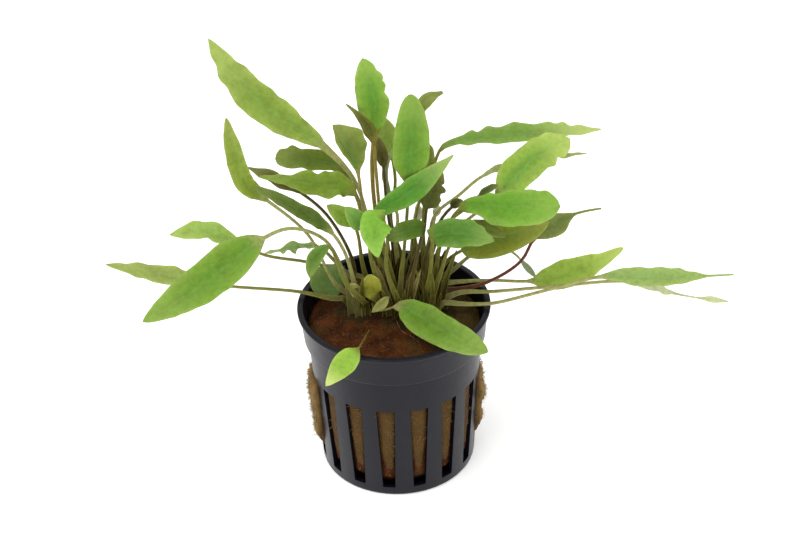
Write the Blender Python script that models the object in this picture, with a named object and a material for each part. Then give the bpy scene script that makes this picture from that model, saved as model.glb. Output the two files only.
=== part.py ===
"""Potted cryptocoryne: an aquarium plant growing in a slotted net pot packed with stone wool.

The pieces are the moulded pot, the wool plug, five crowns (the short rootstocks that stand on
the wool) and the leaves. Each leaf grew as one piece, stalk and blade together, and is one solid.
Lengths in the tables are millimetres; the meshes are made in metres. The origin is the middle of
the pot's base, +Z is up and the front of the pot looks along -Y.
"""

import math

import bmesh
import bpy
from mathutils import Vector

MM = 0.001
GAP = 0.3
FULL_TURN = 2.0 * math.pi

# Pot, in millimetres
POT_HEIGHT = 49.5
BASE_RADIUS = 21.4
BASE_CHAMFER = 0.8
WALL_TOP_RADIUS = 23.5
LEDGE_HEIGHT = 40.5
COLLAR_RADIUS = 24.4
RIM_RADIUS = 26.0
RIM_INNER_RADIUS = 24.2
LIP_DEPTH = 1.8
LIP_ROUND = 0.4
STEP_ROUND = 0.5
DRAFT = 0.2
WALL = 1.2
POT_STEPS = 48
SLOT_COUNT = 16
SLOT_TURN = math.radians(-7.8)
SLOT_LOW = 2.9
SLOT_HIGH = 30.3
SLOT_WIDTH_LOW = 2.6
SLOT_WIDTH_HIGH = 5.0
DRAIN_COUNT = 8
DRAIN_INNER = 7.0
DRAIN_OUTER = 15.0
DRAIN_WIDTH = 2.6
# How far the slot cutters reach past both faces of the wall
SLOT_OVERCUT = 3.0

# Stone wool plug, in millimetres
WOOL_TOP = 45.2
WOOL_LOW = WALL + GAP
WOOL_FLOOR_RADIUS = 17.0
WOOL_FLAT_RADIUS = 19.5
WOOL_EDGE_RADIUS = 22.8
WOOL_EDGE_HEIGHT = 44.0
# It narrows where the wall steps in under the collar
WOOL_LEDGE_RADIUS = 21.8
WOOL_LEDGE_HEIGHT = 39.0
WOOL_COLLAR_HEIGHT = 41.9
WOOL_SLOT_LOW = 5.8
WOOL_SLOT_MIDDLE = 18.0
WOOL_SLOT_HIGH = 29.4
WOOL_SLOT_SIDE_GAP = 0.35
WOOL_SLOT_PUSH = 0.9
# The wool is pushed 0.9 mm into a plain slot and swells right out of these, counted from the front
WOOL_BULGES = {4: 3.7, 5: 3.4, 12: 3.9, 13: 3.4}
WOOL_BULGE_ENDS = 0.6

# Crowns, in millimetres
CROWN_RADIUS = 4.6
CROWN_TOP_RADIUS = 4.3
CROWN_HEIGHT = 1.5
CROWN_SIDES = 10
ROOT_RING = 3.35

# Leaves, in millimetres
STALK_RADIUS = 0.5
STALK_FOOT_RADIUS = 0.7
STALK_RISE = 2.2
STALK_RISE_LEAN = 0.12
BLADE_HALF_THICKNESS = 0.3
TIP_HALF_WIDTH = 0.25
STALK_SPACING = 8.0
BLADE_SPACING = 3.8
ROUTE_STEPS = 12
# A leaf's cross-section is six-sided: two edges, and two points above and two below at these
# shares of the half width and the half thickness, which take this share of the blade's fold
SHOULDER = 0.5
SHOULDER_HEIGHT = 0.87
SHOULDER_FOLD = 0.3

TOWARDS_FRONT = (0.0, -0.83, 0.55)
FRONT_AND_UP = (0.0, -0.6, 0.8)
MOSTLY_UP = (0.0, -0.35, 0.94)

# Drawn outlines that several leaves share: (share of the length, share of the half width)
BROAD_BASED = ((0, 0.3), (0.1, 0.72), (0.28, 1), (0.5, 0.96), (0.72, 0.74), (0.88, 0.42), (1, 0))
SQUARE_BASED = ((0, 0.6), (0.15, 0.92), (0.45, 1), (0.75, 0.7), (1, 0))
LONG_BACKED = ((0, 0.3), (0.12, 0.8), (0.3, 1), (0.6, 0.86), (0.8, 0.6), (0.93, 0.3), (1, 0))

POT_LOOK = ("#37373b", 0.4)
WOOL_LOOK = ("#6b4a22", 0.95)
ROOTSTOCK_LOOK = ("#6f6a34", 0.7)
TONES = {
    "light": ("#94b552", 0.5),
    "mid": ("#77a03a", 0.5),
    "vivid": ("#5f9a3c", 0.5),
    "bluish": ("#5c8f4b", 0.5),
    "dark": ("#4f7a2c", 0.55),
    "olive": ("#76772f", 0.55),
    "brown": ("#5b4a26", 0.6),
    "yellow": ("#a3ac3a", 0.5),
}


def leaf(stem, blade, width, tone, face=TOWARDS_FRONT, belly=0.9, fullness=0.8, outline=None,
         fold=0.12, wave=0.0):
    """One leaf: stalk points above its root, blade points from neck to tip, and its outline.

    The outline is a plain lance with its widest place and its fullness given, or it is drawn as
    a few (share of the length, share of the half width) points.
    """
    return {
        "stem": stem,
        "blade": blade,
        "width": width,
        "tone": tone,
        "face": face,
        "belly": belly,
        "fullness": fullness,
        "outline": outline,
        "fold": fold,
        "wave": wave,
    }


LEFT_CROWN = {
    "leaf_left_strap": leaf(
        [(-15, 1, 55), (-22, 0, 72.5)],
        [(-32.5, -1, 84.5), (-36.5, -3, 90), (-38.2, -5, 100), (-39, -8, 111.5)],
        5.0, "light", fold=0.25,
        outline=((0, 0.35), (0.12, 0.8), (0.28, 1), (0.6, 0.9), (0.85, 0.5), (1, 0))),
    "leaf_left_narrow": leaf(
        [(-10, -1, 55), (-12.5, -2, 68)],
        [(-16, -2, 74.5), (-25.5, -5, 84.5), (-34, -8, 92)],
        4.6, "dark", outline=LONG_BACKED, wave=0.5),
    "leaf_left_brown_edge": leaf(
        [(-10.5, 5, 59), (-16.5, 7, 73)],
        [(-23.5, 9, 79.5), (-30.5, 10, 83.5), (-37, 11, 86.5)],
        4.0, "brown", face=MOSTLY_UP),
    "leaf_left_inner_yellow": leaf(
        [(-8, 4, 60)],
        [(-9.5, 4, 71.5), (-13.5, 3, 76.5), (-16.5, 3, 79)],
        5.0, "yellow"),
    "leaf_low_left_oval": leaf(
        [(-12.5, 0, 57.5), (-17.5, -1, 71), (-26, -3, 76)],
        [(-34, -7, 75), (-48, -15, 68), (-63.5, -22, 61.5)],
        11.0, "mid", face=FRONT_AND_UP, outline=BROAD_BASED),
    "leaf_low_left_narrow": leaf(
        [(-16.5, 3, 49.2), (-25.5, 4.6, 50.9)],
        [(-46.5, 8, 51.5), (-62, 10, 54), (-78, 12, 57)],
        6.0, "light", face=MOSTLY_UP, wave=0.3),
    "leaf_left_wavy": leaf(
        [(-10.4, 6, 52), (-15.5, 7.2, 58.7)],
        [(-20, 9, 62.5), (-27.5, 10, 61.5), (-34.5, 11, 59.5)],
        5.0, "vivid", face=(0.0, 0.0, 1.0), wave=0.8),
    "leaf_left_drooping": leaf(
        [(-8, -4, 53), (-12.5, -5, 60), (-14.5, -5, 67.5)],
        [(-16, -5.5, 71.5), (-19.5, -6.5, 69.5), (-21.5, -7.5, 63.5)],
        5.0, "bluish", fold=0.4),
    "leaf_inner_small_yellow": leaf(
        [],
        [(-9.6, 3.5, 50.4), (-10.7, 3.2, 52.4), (-11.7, 2.9, 54.4)],
        3.0, "yellow", fullness=0.5, fold=0.5),
    "leaf_front_right": leaf(
        [(-5, -4.8, 50.5), (-1.8, -6.8, 52.2)],
        [(1.5, -6.5, 52.8), (12, -16.2, 51.8), (23.5, -26.5, 51.8)],
        9.0, "mid", face=FRONT_AND_UP, outline=BROAD_BASED),
}

BACK_CROWN = {
    "leaf_tall_left_lance": leaf(
        [(-4.5, 8, 60), (-6, 9, 70), (-9.5, 11, 82)],
        [(-17.5, 13, 91.5), (-26.5, 16, 97), (-36.5, 20, 105), (-45.5, 25, 117)],
        9.0, "light", belly=0.95, wave=0.5),
    "leaf_left_small_oval": leaf(
        [(-4.5, 13, 61.5), (-8.5, 14, 73.5)],
        [(-13, 16, 82.5), (-21.5, 20, 83), (-30.5, 24, 82)],
        6.5, "dark", face=FRONT_AND_UP, fullness=0.65),
    "leaf_left_level": leaf(
        [(-1.5, 3.8, 57), (-5, 3.5, 66), (-7.5, 4, 75)],
        [(-10, 5, 82), (-21, 5, 84.5), (-33.5, 6, 86.5)],
        7.6, "mid", face=FRONT_AND_UP, wave=0.4,
        outline=((0, 0.45), (0.12, 0.85), (0.3, 1), (0.5, 0.8), (0.7, 0.5), (0.88, 0.2), (1, 0.04))),
    "leaf_top_centre": leaf(
        [(-4, 14.5, 68.5), (-4.5, 17, 82.5)],
        [(-3.5, 18.5, 92), (-3.5, 21.5, 100.5), (-6, 26, 109.5)],
        9.2, "mid",
        outline=((0, 0.25), (0.15, 0.68), (0.4, 1), (0.7, 0.9), (0.86, 0.58), (1, 0))),
    "leaf_top_reddish": leaf(
        [(-3, 9, 75), (-3.5, 10, 86.5)],
        [(-4, 11, 94), (-6.5, 12, 99), (-10.5, 14, 102.5)],
        4.0, "brown", outline=SQUARE_BASED, fold=0.3),
    "leaf_top_olive": leaf(
        [(-3.5, 5.5, 60), (-6.5, 6.5, 71), (-7.5, 7, 79)],
        [(-8.5, 7, 87), (-9, 7, 94.5), (-13.5, 7, 100.5)],
        8.5, "olive", outline=((0, 0.15), (0.25, 0.5), (0.55, 0.95), (0.75, 0.85), (1, 0)), fold=0.3),
    "leaf_inner_brown": leaf(
        [(-1, 13, 73)],
        [(-1.5, 15, 83), (-2, 15, 87.5), (-2.5, 15, 92)],
        3.0, "brown", fold=0.4),
    "leaf_low_left_back": leaf(
        [(-9, 10.6, 51), (-17, 14, 52.2), (-24, 15.8, 53.2), (-35.5, 18, 54.5)],
        [(-42.5, 21, 57), (-51.5, 23, 59.5), (-62, 26, 57)],
        7.0, "light", face=MOSTLY_UP),
    "leaf_in_pot_broad": leaf(
        [(-7.5, 6.9, 50.3)],
        [(-13.5, 6.8, 50.6), (-17, 8.6, 51.8), (-18.6, 11.6, 55)],
        11.0, "dark", fullness=0.5),
    "leaf_back_grey_twist": leaf(
        [(1, 11.5, 62), (1.8, 13, 68.8)],
        [(0, 14.9, 73.9), (-1.2, 16, 79.4), (-0.6, 16.5, 83.1), (1, 17.4, 86.8)],
        2.2, "bluish", fold=0.3),
}

FRONT_CROWN = {
    "leaf_left_inner_blue": leaf(
        [(-4, -1, 57), (-5.5, -2.5, 65)],
        [(-6.5, -2, 74), (-9, -3, 78.5), (-11.5, -3, 82)],
        5.0, "bluish"),
    "leaf_front_hanging": leaf(
        [(-1.5, -3, 62), (-1, -4, 74.5)],
        [(-1.8, -6, 81.2), (-3.3, -9.8, 79.2), (-3.5, -15.5, 74.6)],
        7.8, "light", outline=((0, 0.5), (0.12, 1), (0.35, 0.9), (0.72, 0.46), (0.88, 0.24), (1, 0))),
    "leaf_inner_round_yellow": leaf(
        [],
        [(-5, -2, 52), (-6, -3, 56.5), (-7, -3, 60)],
        5.0, "yellow", fullness=0.5, fold=0.6),
    "leaf_sliver": leaf(
        [],
        [(-3.4, -4.1, 52.4), (-2.1, -4.9, 53.8), (-0.4, -5.7, 55.6)],
        2.5, "yellow"),
    "leaf_centre_vivid": leaf(
        [(-1, 2.5, 61), (-4, 0.5, 72.5)],
        [(-3.5, 0, 77.5), (5.5, -0.5, 84.5), (16.5, 0, 94.5)],
        7.0, "vivid", outline=LONG_BACKED),
    "leaf_tall_centre": leaf(
        [(4, 3, 72)],
        [(5, 2, 86.5), (6, 0, 99.5), (6, -3, 113.5)],
        9.3, "mid", outline=BROAD_BASED),
    "leaf_centre_dark": leaf(
        [(5, -2.5, 58), (7.5, -2, 70)],
        [(8, -4, 75), (4, -6, 76), (-1, -8, 74.5)],
        5.5, "dark", face=FRONT_AND_UP, outline=SQUARE_BASED),
    "leaf_centre_brown": leaf(
        [(5, 6, 56), (8.5, 7, 66.5)],
        [(9.5, 7, 74.5), (11, 7, 80), (13.5, 7, 86.5)],
        7.0, "brown", fold=0.3, wave=0.6),
}

RIGHT_CROWN = {
    "leaf_right_bluish": leaf(
        [(9.5, -3, 58), (10.5, -4.5, 69)],
        [(11, -5.5, 73.5), (18, -9, 76.5), (26, -13, 76.5)],
        8.0, "bluish", face=FRONT_AND_UP, outline=SQUARE_BASED, wave=0.5),
    "leaf_right_olive_tip": leaf(
        [(12.5, -1.5, 59)],
        [(16.5, -1, 70), (23.5, -3, 74), (29.5, -5, 72.5)],
        5.0, "olive", face=FRONT_AND_UP),
    "leaf_right_broad": leaf(
        [(12, 1.5, 62), (14.5, 0.5, 72.5)],
        [(19, 0, 79), (31, -4, 81), (43, -8, 83)],
        10.0, "vivid", face=FRONT_AND_UP, fullness=0.6),
    "leaf_low_right_far": leaf(
        [(18.5, -2, 49.5), (26, -4, 51), (40, -6, 56)],
        [(54.5, -7, 60.5), (68, -9, 61), (88, -11, 62.5)],
        6.0, "light", face=MOSTLY_UP,
        outline=((0, 0.1), (0.12, 0.55), (0.3, 1), (0.5, 0.95), (0.7, 0.5), (0.82, 0.1), (1, 0.05))),
    "leaf_low_right_withered": leaf(
        [(18, 2, 50.5), (26, 1.5, 51), (42, 0, 53)],
        [(63, -1, 54.5), (77, 0, 49), (90.5, 1, 45.5)],
        3.5, "light", face=MOSTLY_UP,
        outline=((0, 0.2), (0.15, 1), (0.32, 0.8), (0.5, 0.12), (0.68, 0.12), (0.84, 0.6), (1, 0))),
    "leaf_right_curled": leaf(
        [(16.5, 5, 49.5), (25.5, 4, 52.5), (34.5, 6, 57.5)],
        [(38.5, 9, 63), (44, 11, 65.5), (49, 12, 68), (56.5, 13, 69)],
        6.0, "olive", outline=((0, 0.1), (0.15, 0.8), (0.35, 1), (0.55, 0.35), (0.65, 0.1), (1, 0.06)),
        fold=0.3),
    "leaf_curled_bud": leaf(
        [(9, 2.5, 63), (13.5, 4.5, 73)],
        [(16, 5.5, 75.5), (17.5, 5.5, 77), (19, 5.5, 77.5)],
        2.5, "brown", fold=0.6),
    "leaf_right_olive": leaf(
        [(11.5, 4, 52.5), (14.5, 4, 59.5)],
        [(18.5, 3, 63.5), (29.5, 1, 69), (41, 0, 73.5)],
        11.0, "olive", face=FRONT_AND_UP, fullness=0.6),
    "leaf_right_thin_bud": leaf(
        [(10.5, 6, 60), (14.5, 7.5, 69), (19, 8.5, 72.5)],
        [(23.5, 8.5, 77), (26, 8.5, 79), (28.5, 8.5, 80)],
        2.5, "dark", face=MOSTLY_UP),
}

FAR_CROWN = {
    "leaf_back_green": leaf(
        [(0, 14, 67), (1.5, 17, 77)],
        [(1, 19, 82.5), (0, 22, 87), (-1, 26, 92)],
        6.0, "vivid"),
    "leaf_back_thin_tip": leaf(
        [(6.5, 9, 70), (9, 10, 80)],
        [(9.8, 10.5, 86), (8.5, 12, 95.5), (9.5, 13.5, 102.5), (14.5, 15, 104.5)],
        5.0, "olive", outline=((0, 0.4), (0.3, 1), (0.62, 0.9), (0.8, 0.25), (1, 0.1))),
    "leaf_right_long": leaf(
        [(9, 13, 72), (12, 14, 84)],
        [(14.5, 15, 88.5), (31, 20, 88.5), (57.5, 26, 86)],
        7.0, "vivid", face=MOSTLY_UP, outline=LONG_BACKED, wave=0.6),
    "leaf_right_broad_back": leaf(
        [(13, 9.5, 61), (23, 8.5, 72)],
        [(29, 9, 77.3), (36.5, 13, 83.6), (48.2, 19, 87.4)],
        9.6, "light", face=FRONT_AND_UP,
        outline=((0, 0.35), (0.15, 0.85), (0.35, 1), (0.7, 0.98), (0.88, 0.7), (1, 0))),
    "leaf_right_edge_on": leaf(
        [(11.5, 13, 68), (18.5, 15, 73.5)],
        [(25, 17, 78), (38, 23, 79), (54, 28, 77.5)],
        4.5, "olive", face=(0.0, 0.0, 1.0)),
    "leaf_low_right_near": leaf(
        [(14.5, 7, 50.5), (25.5, 7, 51)],
        [(38, 6, 51), (50, 5, 54.5), (61.5, 4, 62)],
        8.0, "light", face=FRONT_AND_UP,
        outline=((0, 0.15), (0.12, 0.7), (0.3, 1), (0.55, 0.9), (0.75, 0.5), (0.9, 0.28), (1, 0.05))),
    "leaf_thin_withered": leaf(
        [(15.5, 10, 52), (22, 10.5, 57.5), (28, 10.5, 60), (33, 10, 57.5)],
        [(35, 10, 55), (37, 9.5, 52.5), (39, 9, 50)],
        1.8, "light"),
    "leaf_back_pale_left": leaf(
        [(5.5, 14, 57)],
        [(6.5, 15, 65.5), (7.5, 15, 68), (7, 15, 71)],
        2.6, "light", fullness=0.6),
    "leaf_back_pale_right": leaf(
        [(10, 15.5, 57.5)],
        [(12, 16, 66.5), (12.5, 16, 68.3), (12, 16, 70.3)],
        2.4, "light", fullness=0.6),
}

CROWNS = {
    "crown_left": ((-9.0, 2.0), LEFT_CROWN),
    "crown_back": ((-1.0, 8.5), BACK_CROWN),
    "crown_front": ((1.0, -1.0), FRONT_CROWN),
    "crown_right": ((10.5, 1.5), RIGHT_CROWN),
    "crown_far": ((8.7, 11.0), FAR_CROWN),
}

# The small leaf that hangs over the rim comes straight out of the wool
RUNNER_FOOT = (-6.3, -9.0)
RUNNER_LEAF = leaf(
    [(-8.2, -17, 49.6)],
    [(-9.4, -26.6, 53.9), (-12.9, -28, 50.6), (-17.5, -28.6, 44.6)],
    7.2, "yellow", face=(-0.1, -0.83, 0.5), outline=BROAD_BASED)


def clear_scene():
    """Start from an empty file."""
    for item in list(bpy.data.objects):
        bpy.data.objects.remove(item, do_unlink=True)


def linear(hex_colour):
    """A #rrggbb colour as the linear values a shader takes."""
    values = [int(hex_colour[i:i + 2], 16) / 255.0 for i in (1, 3, 5)]
    return [v / 12.92 if v <= 0.04045 else ((v + 0.055) / 1.055) ** 2.4 for v in values] + [1.0]


def make_material(name, hex_colour, roughness):
    """A plain material with a colour and a roughness; nothing on this plant is metal."""
    material = bpy.data.materials.new(name)
    material.use_nodes = True
    shader = material.node_tree.nodes["Principled BSDF"]
    shader.inputs["Base Color"].default_value = linear(hex_colour)
    shader.inputs["Roughness"].default_value = roughness
    shader.inputs["Metallic"].default_value = 0.0
    return material


def make_object(name, bm, material):
    """Turn a millimetre mesh into a named object in metres, with its faces pointing out."""
    bmesh.ops.recalc_face_normals(bm, faces=bm.faces)
    bmesh.ops.scale(bm, vec=(MM, MM, MM), verts=bm.verts)
    mesh = bpy.data.meshes.new(name)
    bm.to_mesh(mesh)
    bm.free()
    mesh.materials.append(material)
    mesh.shade_smooth()
    mesh.set_sharp_from_angle(angle=math.radians(35))
    item = bpy.data.objects.new(name, mesh)
    bpy.context.collection.objects.link(item)
    return item


def outwards(azimuth):
    """The level direction at an angle from the front, turning towards +X."""
    return Vector((math.sin(azimuth), -math.cos(azimuth), 0.0))


def slot_azimuth(number):
    return SLOT_TURN + number * FULL_TURN / SLOT_COUNT


def slot_width(height):
    """The slots narrow towards the base."""
    share = (height - SLOT_LOW) / (SLOT_HIGH - SLOT_LOW)
    return SLOT_WIDTH_LOW + (SLOT_WIDTH_HIGH - SLOT_WIDTH_LOW) * share


def wall_radius(height):
    """Outer radius of the tapered wall below the ledge."""
    return BASE_RADIUS + (WALL_TOP_RADIUS - BASE_RADIUS) * height / LEDGE_HEIGHT


def turn_profile(profile, steps):
    """A solid turned about Z from (radius, height) points."""
    bm = bmesh.new()
    points = [bm.verts.new((radius, 0.0, height)) for radius, height in profile]
    edges = [bm.edges.new(pair) for pair in zip(points, points[1:])]
    bmesh.ops.spin(bm, geom=points + edges, cent=(0, 0, 0), axis=(0, 0, 1),
                   angle=FULL_TURN, steps=steps, use_merge=True)
    bmesh.ops.remove_doubles(bm, verts=bm.verts, dist=0.001)
    return bm


def add_wedge(bm, azimuth, radii, heights, widths):
    """A block that points outwards, as wide as widths say at its bottom and its top."""
    out = outwards(azimuth)
    side = Vector((0, 0, 1)).cross(out)
    for vert in bmesh.ops.create_cube(bm, size=2.0)["verts"]:
        top = vert.co.z > 0
        half_width = widths[top] / 2.0 * (1 if vert.co.x > 0 else -1)
        radius = radii[vert.co.y > 0]
        vert.co = out * radius + side * half_width + Vector((0, 0, heights[top]))


def make_pot(material):
    """The moulded net pot: a tapered cup with a collar and lip, wall slots and drain slots."""
    lip_under = POT_HEIGHT - LIP_DEPTH
    profile = [
        (0.0, WALL),
        (wall_radius(WALL) - WALL, WALL),
        (WALL_TOP_RADIUS - WALL, LEDGE_HEIGHT - WALL),
        (COLLAR_RADIUS - WALL, LEDGE_HEIGHT + WALL),
        (RIM_INNER_RADIUS, lip_under),
        (RIM_INNER_RADIUS + DRAFT, POT_HEIGHT),
        (RIM_RADIUS - LIP_ROUND, POT_HEIGHT),
        (RIM_RADIUS, POT_HEIGHT - LIP_ROUND),
        (RIM_RADIUS, lip_under),
        (COLLAR_RADIUS + DRAFT, lip_under - LIP_ROUND),
        (COLLAR_RADIUS, LEDGE_HEIGHT + STEP_ROUND),
        (WALL_TOP_RADIUS, LEDGE_HEIGHT),
        (BASE_RADIUS, BASE_CHAMFER),
        (BASE_RADIUS - BASE_CHAMFER, 0.0),
        (0.0, 0.0),
    ]
    pot = make_object("pot", turn_profile(profile, POT_STEPS), material)
    cutters = bmesh.new()
    for number in range(SLOT_COUNT):
        add_wedge(cutters, slot_azimuth(number),
                  (BASE_RADIUS - WALL - SLOT_OVERCUT, WALL_TOP_RADIUS + SLOT_OVERCUT),
                  (SLOT_LOW, SLOT_HIGH), (SLOT_WIDTH_LOW, SLOT_WIDTH_HIGH))
    for number in range(DRAIN_COUNT):
        add_wedge(cutters, number * FULL_TURN / DRAIN_COUNT, (DRAIN_INNER, DRAIN_OUTER),
                  (-WALL, 2.0 * WALL), (DRAIN_WIDTH, DRAIN_WIDTH))
    cutter = make_object("slot_cutter", cutters, material)
    cutter.hide_render = True
    cutter.display_type = "WIRE"
    cut = pot.modifiers.new("slots", "BOOLEAN")
    cut.operation = "DIFFERENCE"
    cut.solver = "EXACT"
    cut.object = cutter
    return pot


def wool_ring(radius, height, column_height):
    """Three points to a slot: its two sides and the middle of the rib beside it."""
    half_width = slot_width(column_height) / 2.0 - WOOL_SLOT_SIDE_GAP
    half_angle = math.asin(half_width / radius)
    points = []
    for number in range(SLOT_COUNT):
        middle = slot_azimuth(number)
        rib = middle + FULL_TURN / SLOT_COUNT / 2.0
        for azimuth in (middle - half_angle, middle + half_angle, rib):
            points.append(outwards(azimuth) * radius + Vector((0, 0, height)))
    return points


def grow(bm, rings):
    """A closed solid through rings of points: the first is filled, then extruded to each next."""
    face = bm.faces.new([bm.verts.new(point) for point in rings[0]])
    levels = [list(face.verts)]
    for ring in rings[1:]:
        made = bmesh.ops.extrude_face_region(bm, geom=[face])["geom"]
        if len(levels) > 1:
            bmesh.ops.delete(bm, geom=[face], context="FACES_ONLY")
        face = next(item for item in made if isinstance(item, bmesh.types.BMFace))
        for vert, point in zip(face.verts, ring):
            vert.co = point
        levels.append(list(face.verts))
    return levels


def make_wool(material):
    """The stone wool plug, pressed a little way into every slot and bulging out of a few."""
    rings = [wool_ring(WOOL_FLOOR_RADIUS, WOOL_LOW, WOOL_SLOT_LOW)]
    for height in (WOOL_SLOT_LOW, WOOL_SLOT_MIDDLE, WOOL_SLOT_HIGH):
        rings.append(wool_ring(wall_radius(height) - WALL - GAP, height, height))
    rings.append(wool_ring(WOOL_LEDGE_RADIUS, WOOL_LEDGE_HEIGHT, WOOL_SLOT_HIGH))
    rings.append(wool_ring(WOOL_EDGE_RADIUS, WOOL_COLLAR_HEIGHT, WOOL_SLOT_HIGH))
    rings.append(wool_ring(WOOL_EDGE_RADIUS, WOOL_EDGE_HEIGHT, WOOL_SLOT_HIGH))
    rings.append(wool_ring(WOOL_FLAT_RADIUS, WOOL_TOP, WOOL_SLOT_HIGH))
    bm = bmesh.new()
    levels = grow(bm, rings)
    bmesh.ops.recalc_face_normals(bm, faces=bm.faces)
    for number in range(SLOT_COUNT):
        columns = [[level[3 * number], level[3 * number + 1]] for level in levels[1:4]]
        corners = {vert for pair in columns for vert in pair}
        faces = [face for face in bm.faces if all(vert in corners for vert in face.verts)]
        made = bmesh.ops.extrude_face_region(bm, geom=faces)["geom"]
        bmesh.ops.delete(bm, geom=faces, context="FACES")
        out = outwards(slot_azimuth(number))
        push = WOOL_BULGES.get(number, WOOL_SLOT_PUSH)
        for vert in [item for item in made if isinstance(item, bmesh.types.BMVert)]:
            in_middle = abs(vert.co.z - WOOL_SLOT_MIDDLE) < 1.0
            vert.co += out * (push if in_middle else WOOL_BULGE_ENDS)
    return make_object("stone_wool", bm, material)


def make_crown(name, centre, material):
    """A short rootstock: a low stub whose flat top carries the leaf stalks."""
    bm = bmesh.new()
    foot = WOOL_TOP + GAP
    made = bmesh.ops.create_cone(bm, cap_ends=True, segments=CROWN_SIDES, radius1=CROWN_RADIUS,
                                 radius2=CROWN_TOP_RADIUS, depth=CROWN_HEIGHT)
    shift = Vector((centre[0], centre[1], foot + CROWN_HEIGHT / 2.0))
    bmesh.ops.translate(bm, verts=made["verts"], vec=shift)
    return make_object(name, bm, material)


def root_places(centre, leaves):
    """A root for each leaf on the crown: the tallest leaf in the middle, the rest in a ring.

    The ring is shared out evenly, in the order in which the leaves lean, so stalks don't cross.
    """
    middle = Vector((centre[0], centre[1], WOOL_TOP + GAP + CROWN_HEIGHT + GAP))
    lean = {name: Vector(data["blade"][0]) - middle for name, data in leaves.items()}
    tallest = max(lean, key=lambda name: lean[name].z)
    order = sorted((name for name in lean if name != tallest),
                   key=lambda name: math.atan2(lean[name].y, lean[name].x))
    step = FULL_TURN / len(order)
    misfits = [math.atan2(lean[name].y, lean[name].x) - k * step for k, name in enumerate(order)]
    turn = math.atan2(sum(math.sin(m) for m in misfits), sum(math.cos(m) for m in misfits))
    places = {tallest: middle}
    for k, name in enumerate(order):
        angle = turn + k * step
        places[name] = middle + Vector((math.cos(angle), math.sin(angle), 0)) * ROOT_RING
    return places


def smooth_route(points):
    """A smooth curve through points, ROUTE_STEPS short pieces to a span."""
    knots = [0.0]
    for a, b in zip(points, points[1:]):
        knots.append(knots[-1] + math.sqrt((b - a).length))
    slopes = []
    for i in range(1, len(points) - 1):
        before = knots[i] - knots[i - 1]
        after = knots[i + 1] - knots[i]
        rise = (points[i] - points[i - 1]) / before * after + (points[i + 1] - points[i]) / after * before
        slopes.append(rise / (before + after))
    first = (points[1] - points[0]) / (knots[1] - knots[0]) * 1.5 - slopes[0] * 0.5
    last = (points[-1] - points[-2]) / (knots[-1] - knots[-2]) * 1.5 - slopes[-1] * 0.5
    slopes = [first] + slopes + [last]
    route = []
    for i in range(len(points) - 1):
        span = knots[i + 1] - knots[i]
        for k in range(ROUTE_STEPS):
            s = k / ROUTE_STEPS
            route.append((2 * s ** 3 - 3 * s ** 2 + 1) * points[i]
                         + (s ** 3 - 2 * s ** 2 + s) * span * slopes[i]
                         + (3 * s ** 2 - 2 * s ** 3) * points[i + 1]
                         + (s ** 3 - s ** 2) * span * slopes[i + 1])
    route.append(points[-1])
    return route


def share_out(route, spacing, fewest):
    """Points at equal distances along a route, about spacing apart."""
    lengths = [0.0]
    for a, b in zip(route, route[1:]):
        lengths.append(lengths[-1] + (b - a).length)
    count = max(fewest, round(lengths[-1] / spacing))
    points = []
    i = 0
    for k in range(count + 1):
        target = lengths[-1] * k / count
        while i < len(route) - 2 and lengths[i + 1] < target:
            i += 1
        share = (target - lengths[i]) / max(lengths[i + 1] - lengths[i], 1e-9)
        points.append(route[i].lerp(route[i + 1], min(share, 1.0)))
    return points


def between(start, end, share):
    """The value a share of the way from start to end, and never past either."""
    return start + (end - start) * min(max(share, 0.0), 1.0)


def blade_outline(share, data):
    """How wide the blade is at a share of its length, from 0 at the ends to 1 at its widest."""
    if not data["outline"]:
        return max(math.sin(math.pi * min(share, 1.0) ** data["belly"]), 0.0) ** data["fullness"]
    for (low, first), (high, second) in zip(data["outline"], data["outline"][1:]):
        if share <= high:
            return between(first, second, (share - low) / (high - low))
    return data["outline"][-1][1]


def section(centre, side, over, half_width, half_thickness, lifts):
    """The six points of a leaf's cross-section; lifts raise its two edges."""
    ring = []
    for edge, lift in ((1.0, lifts[0]), (-1.0, lifts[1])):
        shoulder = centre + side * edge * SHOULDER * half_width + over * lift * SHOULDER_FOLD
        above = over * half_thickness * SHOULDER_HEIGHT
        three = [shoulder - above, centre + side * edge * half_width + over * lift, shoulder + above]
        ring += three if edge > 0 else reversed(three)
    return ring


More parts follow.
